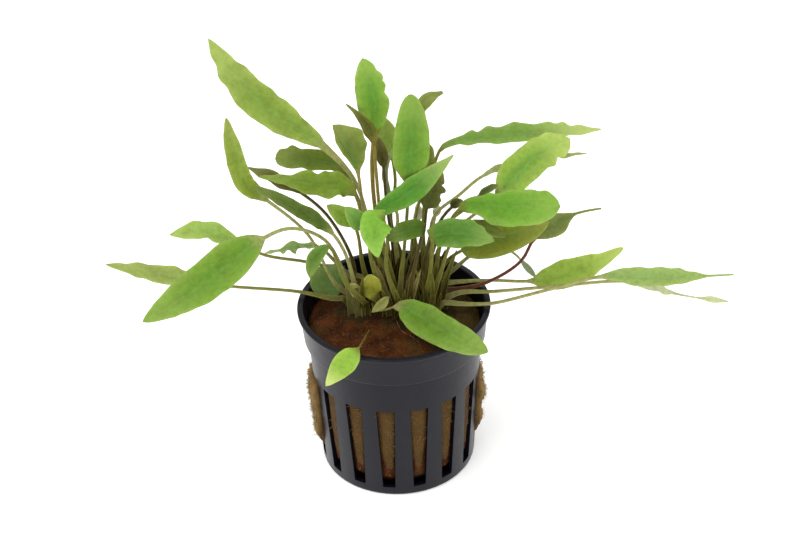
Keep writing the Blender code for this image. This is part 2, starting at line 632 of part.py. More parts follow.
def leaf_rings(root, data):
    """Six-sided rings from the foot of the stalk to the tip of the blade."""
    points = [Vector(p) for p in data["stem"] + data["blade"]]
    lean = (points[0] - root) * STALK_RISE_LEAN
    points = [root, root + Vector((lean.x, lean.y, STALK_RISE))] + points
    route = smooth_route(points)
    neck = (len(data["stem"]) + 2) * ROUTE_STEPS
    stalk = share_out(route[:neck + 1], STALK_SPACING, 3)
    blade = share_out(route[neck:], BLADE_SPACING, 4)
    centres = stalk[:-1] + blade
    face = Vector(data["face"])
    rings = []
    for i, centre in enumerate(centres):
        along = centres[min(i + 1, len(centres) - 1)] - centres[max(i - 1, 0)]
        if i == 0:
            along = Vector((0, 0, 1))
        side = along.cross(face).normalized()
        over = side.cross(along).normalized()
        if i < len(stalk) - 1:
            radius = between(STALK_FOOT_RADIUS, STALK_RADIUS, 2.0 * i / (len(stalk) - 1))
            rings.append(section(centre, side, over, radius, radius, (0.0, 0.0)))
            continue
        share = (i - len(stalk) + 1) / (len(blade) - 1)
        outline = blade_outline(share, data)
        narrow = between(STALK_RADIUS, TIP_HALF_WIDTH, share)
        half_width = narrow + (data["width"] / 2.0 - narrow) * outline
        half_thickness = between(STALK_RADIUS, BLADE_HALF_THICKNESS, 3.0 * share)
        fold = data["fold"] * half_width * outline
        ripple = data["wave"] * outline * (1 if i % 2 else -1)
        rings.append(section(centre, side, over, half_width, half_thickness,
                             (fold + ripple, fold - ripple)))
    return rings


def make_leaf(name, root, data, material):
    bm = bmesh.new()
    grow(bm, leaf_rings(root, data))
    return make_object(name, bm, material)


def build():
    clear_scene()
    plastic = make_material("charcoal_plastic", *POT_LOOK)
    wool = make_material("stone_wool", *WOOL_LOOK)
    rootstock = make_material("rootstock", *ROOTSTOCK_LOOK)
    tones = {tone: make_material("leaf_" + tone, *look) for tone, look in TONES.items()}
    make_pot(plastic)
    make_wool(wool)
    for crown_name, (centre, leaves) in CROWNS.items():
        make_crown(crown_name, centre, rootstock)
        for name, root in root_places(centre, leaves).items():
            make_leaf(name, root, leaves[name], tones[leaves[name]["tone"]])
    foot = Vector((RUNNER_FOOT[0], RUNNER_FOOT[1], WOOL_TOP + GAP))
    make_leaf("leaf_over_rim", foot, RUNNER_LEAF, tones[RUNNER_LEAF["tone"]])


build()
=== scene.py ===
# %% [markdown]
# # Potted cryptocoryne
#
# A young cryptocoryne, an aquarium plant, as a plant shop sells it: a slotted charcoal net pot,
# a plug of wet stone wool in it, and a rosette of thin-stalked leaves. The solid model is loaded
# first and stays where it is. Most pieces made below stand in the place of one of its nodes, so
# their shapes are worked out from the same few sizes as the solids. The wool's fibres, a fine root
# and the sheaths of old leaves are added to them.

import math
import random

import bmesh
import bpy
from mathutils import Matrix, Vector, noise
from mathutils.bvhtree import BVHTree


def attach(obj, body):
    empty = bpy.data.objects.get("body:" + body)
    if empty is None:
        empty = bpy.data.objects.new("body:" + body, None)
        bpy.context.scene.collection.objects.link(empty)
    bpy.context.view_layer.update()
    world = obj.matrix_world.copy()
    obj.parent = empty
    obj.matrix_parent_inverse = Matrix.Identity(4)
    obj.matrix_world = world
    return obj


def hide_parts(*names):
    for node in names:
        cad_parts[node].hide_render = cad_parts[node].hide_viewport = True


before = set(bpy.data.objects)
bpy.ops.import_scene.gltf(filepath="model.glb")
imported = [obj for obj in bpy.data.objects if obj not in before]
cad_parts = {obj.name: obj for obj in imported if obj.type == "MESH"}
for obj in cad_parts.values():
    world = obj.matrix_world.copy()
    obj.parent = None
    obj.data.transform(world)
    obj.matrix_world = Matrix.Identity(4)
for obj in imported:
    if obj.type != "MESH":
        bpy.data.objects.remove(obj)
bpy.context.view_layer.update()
MM = 0.001
FULL_TURN = 2.0 * math.pi

# %% [markdown]
# ## Camera
#
# The pot was photographed from in front and above with a fairly long lens. The lens, the height
# and the small roll come from fitting the ellipses of the pot's rim and base. A camera matrix
# holds its right, up and backward directions as columns, so the roll is one turn of the first two.

# %% Camera
CAMERA_AIM = Vector((2.0, 0.0, 61.1)) * MM
CAMERA_DISTANCE = 423.0 * MM
CAMERA_ELEVATION = math.radians(33.7)
CAMERA_ROLL = math.radians(-1.9)
LENS = 72.0
SENSOR = 36.0


def place_camera():
    data = bpy.data.cameras.new("camera")
    data.lens = LENS
    data.sensor_width = SENSOR
    camera = bpy.data.objects.new("camera", data)
    bpy.context.scene.collection.objects.link(camera)
    forward = Vector((0.0, math.cos(CAMERA_ELEVATION), -math.sin(CAMERA_ELEVATION)))
    right = forward.cross(Vector((0, 0, 1))).normalized()
    up = right.cross(forward)
    rolled_right = right * math.cos(CAMERA_ROLL) + up * math.sin(CAMERA_ROLL)
    rolled_up = up * math.cos(CAMERA_ROLL) - right * math.sin(CAMERA_ROLL)
    turned = Matrix((rolled_right, rolled_up, -forward)).transposed().to_4x4()
    camera.matrix_world = Matrix.Translation(CAMERA_AIM - forward * CAMERA_DISTANCE) @ turned
    bpy.context.scene.camera = camera
    return camera


camera = place_camera()
print("camera at, mm:", [round(v / MM, 1) for v in camera.matrix_world.translation])

# %% [markdown]
# ## Materials: a few small tools
#
# Colours are written as the sRGB hex values a picture shows, and one function turns them into the
# linear numbers a shader adds up. One more function adds any node with its settings and inputs and
# gives back its output, which keeps each material below as short as its idea. A soft step is a map
# range node: its inputs 0, 1 and 2 are the value and where the step starts and ends, and 3 and 4,
# where they are given, are the levels before and after it.

# %% Material tools
BLEND = {"data_type": "RGBA", "blend_type": "MIX"}
TINT = {"data_type": "RGBA", "blend_type": "MULTIPLY"}
MIXED_COLOUR = 2
TIMES = {"operation": "MULTIPLY"}
TIMES_AND_ADD = {"operation": "MULTIPLY_ADD"}
SOFT_STEP = {"interpolation_type": "SMOOTHSTEP"}
DOWN = {3: 1.0, 4: 0.0}


def linear(hex_colour):
    """A #rrggbb colour as the linear values a shader takes."""
    values = [int(hex_colour[i:i + 2], 16) / 255.0 for i in (1, 3, 5)]
    return [v / 12.92 if v <= 0.04045 else ((v + 0.055) / 1.055) ** 2.4 for v in values] + [1.0]


def feed(tree, node, inputs):
    """Give a node's inputs, by name or number, a value each or another node's output."""
    for key, value in inputs.items():
        if isinstance(value, bpy.types.NodeSocket):
            tree.links.new(value, node.inputs[key])
        else:
            node.inputs[key].default_value = value


def add(tree, kind, inputs, output=0, **settings):
    """Add a node with its settings and inputs, and give back one of its outputs."""
    node = tree.nodes.new("ShaderNode" + kind)
    for name, value in settings.items():
        setattr(node, name, value)
    feed(tree, node, inputs)
    return node.outputs[output]


def new_material(name, ior=1.45):
    """A material with a Principled shader, and its node tree and shader to build on."""
    material = bpy.data.materials.new(name)
    material.use_nodes = True
    tree = material.node_tree
    shader = tree.nodes["Principled BSDF"]
    feed(tree, shader, {"IOR": ior})
    return material, tree, shader


def layered(tree, colour, layers):
    """A colour with others over it, each as (its share, the colour, BLEND or TINT)."""
    for share, over, way in layers:
        colour = add(tree, "Mix", {0: share, 6: colour, 7: over}, MIXED_COLOUR, **way)
    return colour


def lumps(tree, size, detail=3.0, squash=(1.0, 1.0, 1.0)):
    """A pattern of soft lumps about size metres across, fixed to the piece."""
    place = add(tree, "TexCoord", {}, "Object")
    place = add(tree, "Mapping", {"Vector": place, "Scale": squash})
    return add(tree, "TexNoise", {"Vector": place, "Scale": 1.0 / size, "Detail": detail})


# %% [markdown]
# ## Stage
#
# The plant stands on a plain pale floor in soft light. A white world gives the even wrap that
# makes the pot's sides shine at a grazing angle. One large lamp above and to the left gives the
# leaves a lit side, and a weak one at the right softens their shadows. None of it belongs to the
# object.

# %% Floor, world and lamps
FLOOR_SIZE = 6.0
FLOOR_COLOUR = "#ffffff"
FLOOR_GLOW = 0.22
WORLD_COLOUR = "#ffffff"
WORLD_STRENGTH = 0.85
LAMPS = (
    # place in metres, size in metres, watts
    ((-0.4, -0.25, 1.0), 1.0, 8.0),
    ((0.6, -0.7, 0.7), 0.8, 2.0),
)


def as_object(name, bm):
    """A bmesh as a new object in the scene; the bmesh is used up."""
    mesh = bpy.data.meshes.new(name)
    bm.to_mesh(mesh)
    bm.free()
    made = bpy.data.objects.new(name, mesh)
    bpy.context.scene.collection.objects.link(made)
    return made


def make_stage():
    bm = bmesh.new()
    bmesh.ops.create_grid(bm, x_segments=1, y_segments=1, size=FLOOR_SIZE / 2.0)
    floor = as_object("floor", bm)
    material, tree, shader = new_material("pale_floor")
    feed(tree, shader, {
        "Roughness": 0.6,
        "Base Color": linear(FLOOR_COLOUR),
        "Emission Color": linear(FLOOR_COLOUR),
        "Emission Strength": FLOOR_GLOW,
    })
    floor.data.materials.append(material)
    world = bpy.data.worlds.new("soft_white")
    world.use_nodes = True
    background = world.node_tree.nodes["Background"]
    feed(world.node_tree, background, {"Color": linear(WORLD_COLOUR), "Strength": WORLD_STRENGTH})
    bpy.context.scene.world = world
    for number, (place, size, watts) in enumerate(LAMPS):
        light = bpy.data.lights.new("soft_lamp_%d" % number, "AREA")
        light.size = size
        light.energy = watts
        lamp = bpy.data.objects.new(light.name, light)
        lamp.location = place
        lamp.rotation_euler = (CAMERA_AIM - Vector(place)).to_track_quat("-Z", "Y").to_euler()
        bpy.context.scene.collection.objects.link(lamp)


make_stage()
bpy.context.scene.view_settings.view_transform = "Standard"
print("stage ready")

# %% [markdown]
# ## From a bmesh to a finished piece
#
# Tables give lengths in millimetres and the scene is in metres, so a mesh that is drawn from them
# is scaled once, here. The wool and its fibres are in metres already, because they start from the
# wool's solid. The finished object sits at the origin with its place in its mesh, it rides on the
# plant's one body, and it says which solid it stands for, if any, and which finish it has.

# %% Finish a piece
SHARP_ANGLE = math.radians(40)


def finish_piece(name, bm, material, stands_for=(), sharp=SHARP_ANGLE, in_mm=True):
    if in_mm:
        bmesh.ops.scale(bm, vec=(MM, MM, MM), verts=bm.verts)
    piece = as_object(name, bm)
    piece.data.materials.append(material)
    piece.data.shade_smooth()
    if sharp:
        piece.data.set_sharp_from_angle(angle=sharp)
    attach(piece, "root")
    if stands_for:
        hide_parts(*stands_for)
    return piece


def outwards(azimuth):
    """The level direction at an angle from the front, turning towards +X."""
    return Vector((math.sin(azimuth), -math.cos(azimuth), 0.0))


# %% [markdown]
# ## Net pot
#
# The pot is injection-moulded polypropylene: a tapered cup with a small ledge, a collar that
# widens upwards to a thin lip, and slots that let roots and water through. A turned profile gives
# the cup, with short arcs where the mould was rounded, and wedge cutters take out the slots. The
# solid has few sides because it is for collision; this one is turned in fine steps so that
# reflections run smoothly round it.

# %% Pot sizes
POT_HEIGHT = 49.5
BASE_RADIUS = 21.4
WALL_TOP_RADIUS = 23.5
LEDGE_HEIGHT = 40.5
COLLAR_RADIUS = 24.6
COLLAR_TOP_RADIUS = 25.3
RIM_RADIUS = 26.0
RIM_INNER_RADIUS = 24.2
LIP_DEPTH = 0.8
DRAFT = 0.2
WALL = 1.2
BASE_ROUND = 0.9
LIP_ROUND = 0.3
STEP_DEPTH = 0.3
STEP_ROUND = 0.2
LEDGE_ROUND = 0.25
POT_STEPS = 192
SLOT_COUNT = 16
SLOT_TURN = math.radians(-7.8)
SLOT_LOW = 2.9
SLOT_HIGH = 30.3
SLOT_WIDTH_LOW = 3.4
SLOT_WIDTH_HIGH = 5.0
SLOT_OVERCUT = 3.0
DRAIN_COUNT = 8
DRAIN_INNER = 7.0
DRAIN_OUTER = 15.0
DRAIN_WIDTH = 2.6


def wall_radius(height):
    """Outer radius of the tapered wall below the ledge."""
    return BASE_RADIUS + (WALL_TOP_RADIUS - BASE_RADIUS) * height / LEDGE_HEIGHT


def slot_azimuth(number):
    return SLOT_TURN + number * FULL_TURN / SLOT_COUNT


def rounded(corner, before, after, radius, steps=4):
    """Points of a small arc that takes the place of a profile's corner."""
    corner = Vector(corner)
    start = corner + (Vector(before) - corner).normalized() * radius
    end = corner + (Vector(after) - corner).normalized() * radius
    points = []
    for k in range(steps + 1):
        s = k / steps
        points.append((1 - s) ** 2 * start + 2 * s * (1 - s) * corner + s * s * end)
    return [(p.x, p.y) for p in points]


# %% Turn the cup


def pot_profile():
    """Half the cup's section, from the middle of the floor up the inside, over and down."""
    lip_under = POT_HEIGHT - LIP_DEPTH
    inner_foot = (wall_radius(WALL) - WALL, WALL)
    inner_ledge = (WALL_TOP_RADIUS - WALL, LEDGE_HEIGHT - WALL)
    lip_in = (RIM_INNER_RADIUS + DRAFT, POT_HEIGHT)
    lip_out = (RIM_RADIUS, POT_HEIGHT)
    lip_low = (RIM_RADIUS, lip_under)
    collar_top = (COLLAR_TOP_RADIUS, lip_under - STEP_DEPTH)
    ledge_out = (COLLAR_RADIUS, LEDGE_HEIGHT)
    foot = (BASE_RADIUS, 0.0)
    points = [(0.0, WALL)]
    points += rounded(inner_foot, (0.0, WALL), inner_ledge, BASE_ROUND)
    points.append(inner_ledge)
    points.append((COLLAR_RADIUS - WALL, LEDGE_HEIGHT + WALL))
    points.append((RIM_INNER_RADIUS, lip_under))
    points += rounded(lip_in, (RIM_INNER_RADIUS, lip_under), lip_out, LIP_ROUND)
    points += rounded(lip_out, lip_in, lip_low, LIP_ROUND)
    points += rounded(lip_low, lip_out, collar_top, LIP_ROUND, 6)
    points += rounded(collar_top, lip_low, ledge_out, STEP_ROUND)
    points += rounded(ledge_out, collar_top, (WALL_TOP_RADIUS, LEDGE_HEIGHT - WALL), LEDGE_ROUND)
    points.append((WALL_TOP_RADIUS, LEDGE_HEIGHT - LEDGE_ROUND))
    points += rounded(foot, (WALL_TOP_RADIUS, LEDGE_HEIGHT), (0.0, 0.0), BASE_ROUND)
    points.append((0.0, 0.0))
    return points


def turn_profile(profile, steps):
    bm = bmesh.new()
    points = [bm.verts.new((radius, 0.0, height)) for radius, height in profile]
    edges = [bm.edges.new(pair) for pair in zip(points, points[1:])]
    bmesh.ops.spin(bm, geom=points + edges, cent=(0, 0, 0), axis=(0, 0, 1),
                   angle=FULL_TURN, steps=steps, use_merge=True)
    bmesh.ops.remove_doubles(bm, verts=bm.verts, dist=0.001)
    bmesh.ops.recalc_face_normals(bm, faces=bm.faces)
    return bm


def add_wedge(bm, azimuth, radii, heights, widths):
    """A block that points outwards, as wide as widths say at its bottom and its top."""
    out = outwards(azimuth)
    side = out.cross(Vector((0, 0, 1)))
    for vert in bmesh.ops.create_cube(bm, size=2.0)["verts"]:
        top = vert.co.z > 0
        half_width = widths[top] / 2.0 * (1 if vert.co.x > 0 else -1)
        vert.co = out * radii[vert.co.y > 0] + side * half_width + Vector((0, 0, heights[top]))


def remove_object(holder):
    mesh = holder.data
    bpy.data.objects.remove(holder)
    bpy.data.meshes.remove(mesh)


def modified(bm, kind, **settings):
    """A bmesh after one modifier of that kind; the one given is used up."""
    holder = as_object("holder", bm)
    modifier = holder.modifiers.new(kind.lower(), kind)
    for name, value in settings.items():
        setattr(modifier, name, value)
    seen = holder.evaluated_get(bpy.context.evaluated_depsgraph_get())
    result = bpy.data.meshes.new_from_object(seen)
    made = bmesh.new()
    made.from_mesh(result)
    bpy.data.meshes.remove(result)
    remove_object(holder)
    return made


# %% [markdown]
# ## Charcoal polypropylene
#
# Polypropylene has a refractive index of about 1.49 and comes out of a textured mould with a
# satin skin. The near-black pigment leaves mostly reflection to see, so the roughness varies a
# little, and water has left pale smears on it. The mould's texture of about 0.3 mm shows only as
# a soft break-up of the shine.

# %% Pot material
POT_COLOUR = "#0b0b15"
POT_SMEAR = "#17171f"
SMEAR_SIZE = 9.0 * MM
SMEAR_SQUASH = (1.0, 1.0, 0.35)
WEAR_SIZE = 2.5 * MM
MOULD_GRAIN = 0.35 * MM
MOULD_GRAIN_DEPTH = 0.012 * MM
MOULD_WAVE = 6.0 * MM
MOULD_WAVE_DEPTH = 0.08 * MM


def plastic_material():
    material, tree, shader = new_material("charcoal_polypropylene", 1.49)
    water = lumps(tree, SMEAR_SIZE, 5.0, SMEAR_SQUASH)
    smear = add(tree, "MapRange", {0: water, 1: 0.52, 2: 0.8}, **SOFT_STEP)
    grain = {"Height": lumps(tree, MOULD_GRAIN, 2.0), "Distance": MOULD_GRAIN_DEPTH}
    wavy = {"Height": lumps(tree, MOULD_WAVE, 2.0), "Distance": MOULD_WAVE_DEPTH,
            "Normal": add(tree, "Bump", grain)}
    feed(tree, shader, {
        "Base Color": layered(tree, linear(POT_COLOUR), [(smear, linear(POT_SMEAR), BLEND)]),
        "Roughness": add(tree, "MapRange", {0: lumps(tree, WEAR_SIZE, 4.0), 3: 0.27, 4: 0.4}),
        "Specular IOR Level": 0.22,
        "Normal": add(tree, "Bump", wavy),
    })
    return material


def make_pot():
    cutters = bmesh.new()
    for number in range(SLOT_COUNT):
        add_wedge(cutters, slot_azimuth(number),
                  (BASE_RADIUS - WALL - SLOT_OVERCUT, WALL_TOP_RADIUS + SLOT_OVERCUT),
                  (SLOT_LOW, SLOT_HIGH), (SLOT_WIDTH_LOW, SLOT_WIDTH_HIGH))
    for number in range(DRAIN_COUNT):
        add_wedge(cutters, number * FULL_TURN / DRAIN_COUNT, (DRAIN_INNER, DRAIN_OUTER),
                  (-WALL, 2.0 * WALL), (DRAIN_WIDTH, DRAIN_WIDTH))
    cutter = as_object("cutters", cutters)
    cup = turn_profile(pot_profile(), POT_STEPS)
    cup = modified(cup, "BOOLEAN", operation="DIFFERENCE", solver="EXACT", object=cutter)
    remove_object(cutter)
    return finish_piece("net_pot", cup, plastic_material(), ["pot"])


pot = make_pot()
print("pot faces:", len(pot.data.polygons))

# %% [markdown]
# ## The leaves' routes
#
# A leaf is a stalk that widens into a blade, and it is drawn by a handful of points: some above
# the root for the stalk, and three or four for the blade, from its neck to its tip. These are the
# points of the solids, so a blade lies on its solid, apart from the small leaf over the rim and
# five that a table further down moves. A smooth curve runs through the points, and equal steps
# along it give the places of the cross-sections.

# %% Leaf tables, in millimetres
TOWARDS_FRONT = (0.0, -0.83, 0.55)
FRONT_AND_UP = (0.0, -0.6, 0.8)
MOSTLY_UP = (0.0, -0.35, 0.94)
STRAIGHT_UP = (0.0, 0.0, 1.0)

# A drawn outline has points of (share of the length, share of the half width). Two leaves share
# this one.
SQUARE_BASED = ((0, 0.6), (0.15, 0.92), (0.45, 1), (0.75, 0.7), (1, 0))


def leaf(stem, blade, width, tone, face=TOWARDS_FRONT, belly=0.9, fullness=0.8, outline=None,
         fold=0.12):
    """One leaf: stalk points above its root, blade points from neck to tip, and its outline."""
    return {
        "stem": stem,
        "blade": blade,
        "width": width,
        "tone": tone,
        "face": face,
        "belly": belly,
        "fullness": fullness,
        "outline": outline,
        "fold": fold,
    }


LEFT_CROWN = {
    "leaf_left_strap": leaf(
        [(-15, 1, 55), (-22, 0, 72.5)],
        [(-32.5, -1, 84.5), (-36.5, -3, 90), (-38.2, -5, 100), (-39, -8, 111.5)],
        5.0, "light", fold=0.25,
        outline=((0, 0.35), (0.12, 0.8), (0.28, 1), (0.6, 0.9), (0.85, 0.5), (1, 0))),
    "leaf_left_narrow": leaf(
        [(-10, -1, 55), (-12.5, -2, 68)],
        [(-16, -2, 74.5), (-25.5, -5, 84.5), (-34, -8, 92)],
        3.8, "dark",
        outline=((0, 0.3), (0.12, 0.8), (0.3, 1), (0.6, 0.86), (0.8, 0.6), (0.93, 0.3), (1, 0))),
    "leaf_left_brown_edge": leaf(
        [(-10.5, 5, 59), (-16.5, 7, 73)],
        [(-23.5, 9, 79.5), (-30.5, 10, 83.5), (-37, 11, 86.5)],
        4.0, "brown", face=MOSTLY_UP),
    "leaf_left_inner_yellow": leaf(
        [(-8, 4, 60)],
        [(-9.5, 4, 71.5), (-13.5, 3, 76.5), (-16.5, 3, 79)],
        5.0, "yellow"),
    "leaf_low_left_oval": leaf(
        [(-12.5, 0, 57.5), (-17.5, -1, 71), (-26, -3, 76)],
        [(-34, -7, 75), (-48, -15, 68), (-63.5, -22, 61.5)],
        11.0, "mid", face=FRONT_AND_UP, 
        outline=((0, 0.3), (0.1, 0.72), (0.28, 1), (0.5, 0.96), (0.72, 0.74), (0.88, 0.42), (1, 0))),
    "leaf_low_left_narrow": leaf(
        [(-16.5, 3, 49.2), (-25.5, 4.6, 50.9)],
        [(-46.5, 8, 51.5), (-62, 10, 54), (-78, 12, 57)],
        6.0, "light", face=MOSTLY_UP),
    "leaf_left_wavy": leaf(
        [(-10.4, 6, 52), (-15.5, 7.2, 58.7)],
        [(-20, 9, 62.5), (-27.5, 10, 61.5), (-34.5, 11, 59.5)],
        3.6, "vivid", face=STRAIGHT_UP),
    "leaf_left_drooping": leaf(
        [(-8, -4, 53), (-12.5, -5, 60), (-14.5, -5, 67.5)],
        [(-16, -5.5, 71.5), (-19.5, -6.5, 69.5), (-21.5, -7.5, 63.5)],
        3.9, "bluish", fold=0.4),
    "leaf_inner_small_yellow": leaf(
        [],
        [(-9.6, 3.5, 50.4), (-10.7, 3.2, 52.4), (-11.7, 2.9, 54.4)],
        3.3, "yellow", fullness=0.5, fold=0.15),
    "leaf_front_right": leaf(
        [(-5, -4.8, 50.5), (-1.8, -6.8, 52.2)],
        [(1.5, -6.5, 52.8), (12, -16.2, 51.8), (23.5, -26.5, 51.8)],
        9.0, "mid", face=FRONT_AND_UP, 
        outline=((0, 0.3), (0.12, 0.75), (0.3, 1), (0.55, 0.95), (0.78, 0.76), (0.92, 0.42),
                 (1, 0.04))),
}

BACK_CROWN = {
    "leaf_tall_left_lance": leaf(
        [(-4.5, 8, 60), (-6, 9, 70), (-9.5, 11, 82)],
        [(-17.5, 13, 91.5), (-26.5, 16, 97), (-36.5, 20, 105), (-45.5, 25, 117)],
        9.0, "light", belly=0.95),
    "leaf_left_small_oval": leaf(
        [(-4.5, 13, 61.5), (-8.5, 14, 73.5)],
        [(-13, 16, 82.5), (-21.5, 20, 83), (-30.5, 24, 82)],
        6.5, "dark", face=FRONT_AND_UP,
        outline=((0, 0.3), (0.15, 0.6), (0.35, 0.95), (0.55, 0.9), (0.75, 1), (0.92, 0.72),
                 (1, 0.2))),
    "leaf_left_level": leaf(
        [(-1.5, 3.8, 57), (-5, 3.5, 66), (-7.5, 4, 75)],
        [(-10, 5, 82), (-21, 5, 84.5), (-33.5, 6, 86.5)],
        7.6, "mid", face=FRONT_AND_UP,
        outline=((0, 0.45), (0.12, 0.8), (0.22, 1), (0.38, 0.8), (0.5, 0.86), (0.65, 0.5),
                 (0.85, 0.25), (1, 0.04))),
    "leaf_top_centre": leaf(
        [(-4, 14.5, 68.5), (-4.5, 17, 82.5)],
        [(-3.5, 18.5, 92), (-3.5, 21.5, 100.5), (-6, 26, 109.5)],
        9.2, "mid",
        outline=((0, 0.25), (0.15, 0.68), (0.4, 1), (0.7, 0.9), (0.86, 0.58), (1, 0))),
    "leaf_top_reddish": leaf(
        [(-3, 9, 75), (-3.5, 10, 86.5)],
        [(-4, 11, 94), (-6.5, 12, 99), (-10.5, 14, 102.5)],
        3.4, "brown", fold=0.3,
        outline=((0, 0.55), (0.22, 1), (0.5, 0.7), (0.75, 0.32), (1, 0.04))),
    "leaf_top_olive": leaf(
        [(-3.5, 5.5, 60), (-6.5, 6.5, 71), (-7.5, 7, 79)],
        [(-8.5, 7, 87), (-9, 7, 94.5), (-13.5, 7, 100.5)],
        8.5, "olive",
        outline=((0, 0.1), (0.22, 0.62), (0.45, 0.9), (0.64, 1), (0.84, 0.5), (1, 0))),
    "leaf_inner_brown": leaf(
        [(-1, 13, 73)],
        [(-1.5, 15, 83), (-2, 15, 87.5), (-2.5, 15, 92)],
        3.4, "brown", fold=0.4),
    "leaf_low_left_back": leaf(
        [(-9, 10.6, 51), (-17, 14, 52.2), (-24, 15.8, 53.2), (-35.5, 18, 54.5)],
        [(-42.5, 21, 57), (-51.5, 23, 59.5), (-62, 26, 57)],
        7.0, "light", face=MOSTLY_UP),
    "leaf_in_pot_broad": leaf(
        [(-7.5, 6.9, 50.3)],
        [(-13.5, 6.8, 50.6), (-17, 8.6, 51.8), (-18.6, 11.6, 55)],
        11.0, "dark", fullness=0.5),
    "leaf_back_grey_twist": leaf(
        [(1, 11.5, 62), (1.8, 13, 68.8)],
        [(0, 14.9, 73.9), (-1.2, 16, 79.4), (-0.6, 16.5, 83.1), (1, 17.4, 86.8)],
        1.7, "bluish", fold=0.3),
}

FRONT_CROWN = {
    "leaf_left_inner_blue": leaf(
        [(-4, -1, 57), (-5.5, -2.5, 65)],
        [(-6.5, -2, 74), (-9, -3, 78.5), (-11.5, -3, 82)],
        5.0, "bluish"),
    "leaf_front_hanging": leaf(
        [(-1.5, -3, 62), (-1, -4, 74.5)],
        [(-1.8, -6, 81.2), (-3.3, -9.8, 79.2), (-3.5, -15.5, 74.6)],
        7.8, "light",
        outline=((0, 0.5), (0.12, 1), (0.35, 0.9), (0.72, 0.46), (0.88, 0.24), (1, 0))),
    "leaf_inner_round_yellow": leaf(
        [],
        [(-5, -2, 52), (-6, -3, 56.5), (-7, -3, 60)],
        5.2, "yellow", fold=0.1,
        outline=((0, 0.5), (0.15, 0.85), (0.4, 1), (0.7, 0.9), (0.9, 0.6), (1, 0.2))),
    "leaf_sliver": leaf(
        [],
        [(-3.4, -4.1, 52.4), (-2.1, -4.9, 53.8), (-0.4, -5.7, 55.6)],
        2.6, "yellow"),
    "leaf_centre_vivid": leaf(
        [(-1, 2.5, 61), (-4, 0.5, 72.5)],
        [(-3.5, 0, 77.5), (5.5, -0.5, 84.5), (16.5, 0, 94.5)],
        6.2, "vivid",
        outline=((0, 0.25), (0.15, 0.7), (0.35, 0.95), (0.5, 1), (0.65, 0.8), (0.8, 0.5),
                 (0.92, 0.2), (1, 0))),
    "leaf_tall_centre": leaf(
        [(4, 3, 72)],
        [(5, 2, 86.5), (6, 0, 99.5), (6, -3, 113.5)],
        9.3, "mid",
        outline=((0, 0.3), (0.1, 0.72), (0.28, 1), (0.5, 0.97), (0.72, 0.8), (0.88, 0.56),
                 (0.96, 0.34), (1, 0.1))),
    "leaf_centre_dark": leaf(
        [(5, -2.5, 58), (7.5, -2, 70)],
        [(8, -4, 75), (4, -6, 76), (-1, -8, 74.5)],
        5.5, "dark", face=FRONT_AND_UP, outline=SQUARE_BASED),
    "leaf_centre_brown": leaf(
        [(5, 6, 56), (8.5, 7, 66.5)],
        [(9.5, 7, 74.5), (11, 7, 80), (13.5, 7, 86.5)],
        7.0, "brown", fold=0.3),
}

RIGHT_CROWN = {
    "leaf_right_bluish": leaf(
        [(9.5, -3, 58), (10.5, -4.5, 69)],
        [(11, -5.5, 73.5), (18, -9, 76.5), (26, -13, 76.5)],
        8.0, "bluish", face=FRONT_AND_UP, outline=SQUARE_BASED),
    "leaf_right_olive_tip": leaf(
        [(12.5, -1.5, 59)],
        [(16.5, -1, 70), (23.5, -3, 74), (29.5, -5, 72.5)],
        5.0, "olive", face=FRONT_AND_UP),
    "leaf_right_broad": leaf(
        [(12, 1.5, 62), (14.5, 0.5, 72.5)],
        [(19, 0, 79), (31, -4, 81), (43, -8, 83)],
        10.0, "vivid", face=FRONT_AND_UP,
        outline=((0, 0.25), (0.15, 0.5), (0.35, 0.75), (0.6, 1), (0.8, 0.95), (0.93, 0.6), (1, 0))),
    "leaf_low_right_far": leaf(
        [(18.5, -2, 49.5), (26, -4, 51), (40, -6, 56)],
        [(54.5, -7, 60.5), (68, -9, 61), (88, -11, 62.5)],
        6.0, "light", face=MOSTLY_UP,
        outline=((0, 0.1), (0.12, 0.55), (0.3, 1), (0.5, 0.95), (0.7, 0.5), (0.82, 0.1), (1, 0.05))),
    "leaf_low_right_withered": leaf(
        [(18, 2, 50.5), (26, 1.5, 51), (42, 0, 53)],
        [(63, -1, 54.5), (77, 0, 49), (90.5, 1, 45.5)],
        3.5, "light", face=MOSTLY_UP,
        outline=((0, 0.2), (0.15, 1), (0.32, 0.8), (0.5, 0.12), (0.68, 0.12), (0.84, 0.6), (1, 0))),
    "leaf_right_curled": leaf(
        [(16.5, 5, 49.5), (25.5, 4, 52.5), (34.5, 6, 57.5)],
        [(38.5, 9, 63), (44, 11, 65.5), (49, 12, 68), (56.5, 13, 69)],
        6.0, "olive", fold=0.3,
        outline=((0, 0.1), (0.15, 0.8), (0.35, 1), (0.55, 0.35), (0.65, 0.1), (1, 0.06))),
    "leaf_curled_bud": leaf(
        [(9, 2.5, 63), (13.5, 4.5, 73)],
        [(16, 5.5, 75.5), (17.5, 5.5, 77), (19, 5.5, 77.5)],
        2.5, "brown", fold=0.6),
    "leaf_right_olive": leaf(
        [(11.5, 4, 52.5), (14.5, 4, 59.5)],
        [(18.5, 3, 63.5), (29.5, 1, 69), (41, 0, 73.5)],
        11.0, "olive", face=FRONT_AND_UP, fullness=0.6),
    "leaf_right_thin_bud": leaf(
        [(10.5, 6, 60), (14.5, 7.5, 69), (19, 8.5, 72.5)],
        [(23.5, 8.5, 77), (26, 8.5, 79), (28.5, 8.5, 80)],
        2.5, "dark", face=MOSTLY_UP),
}

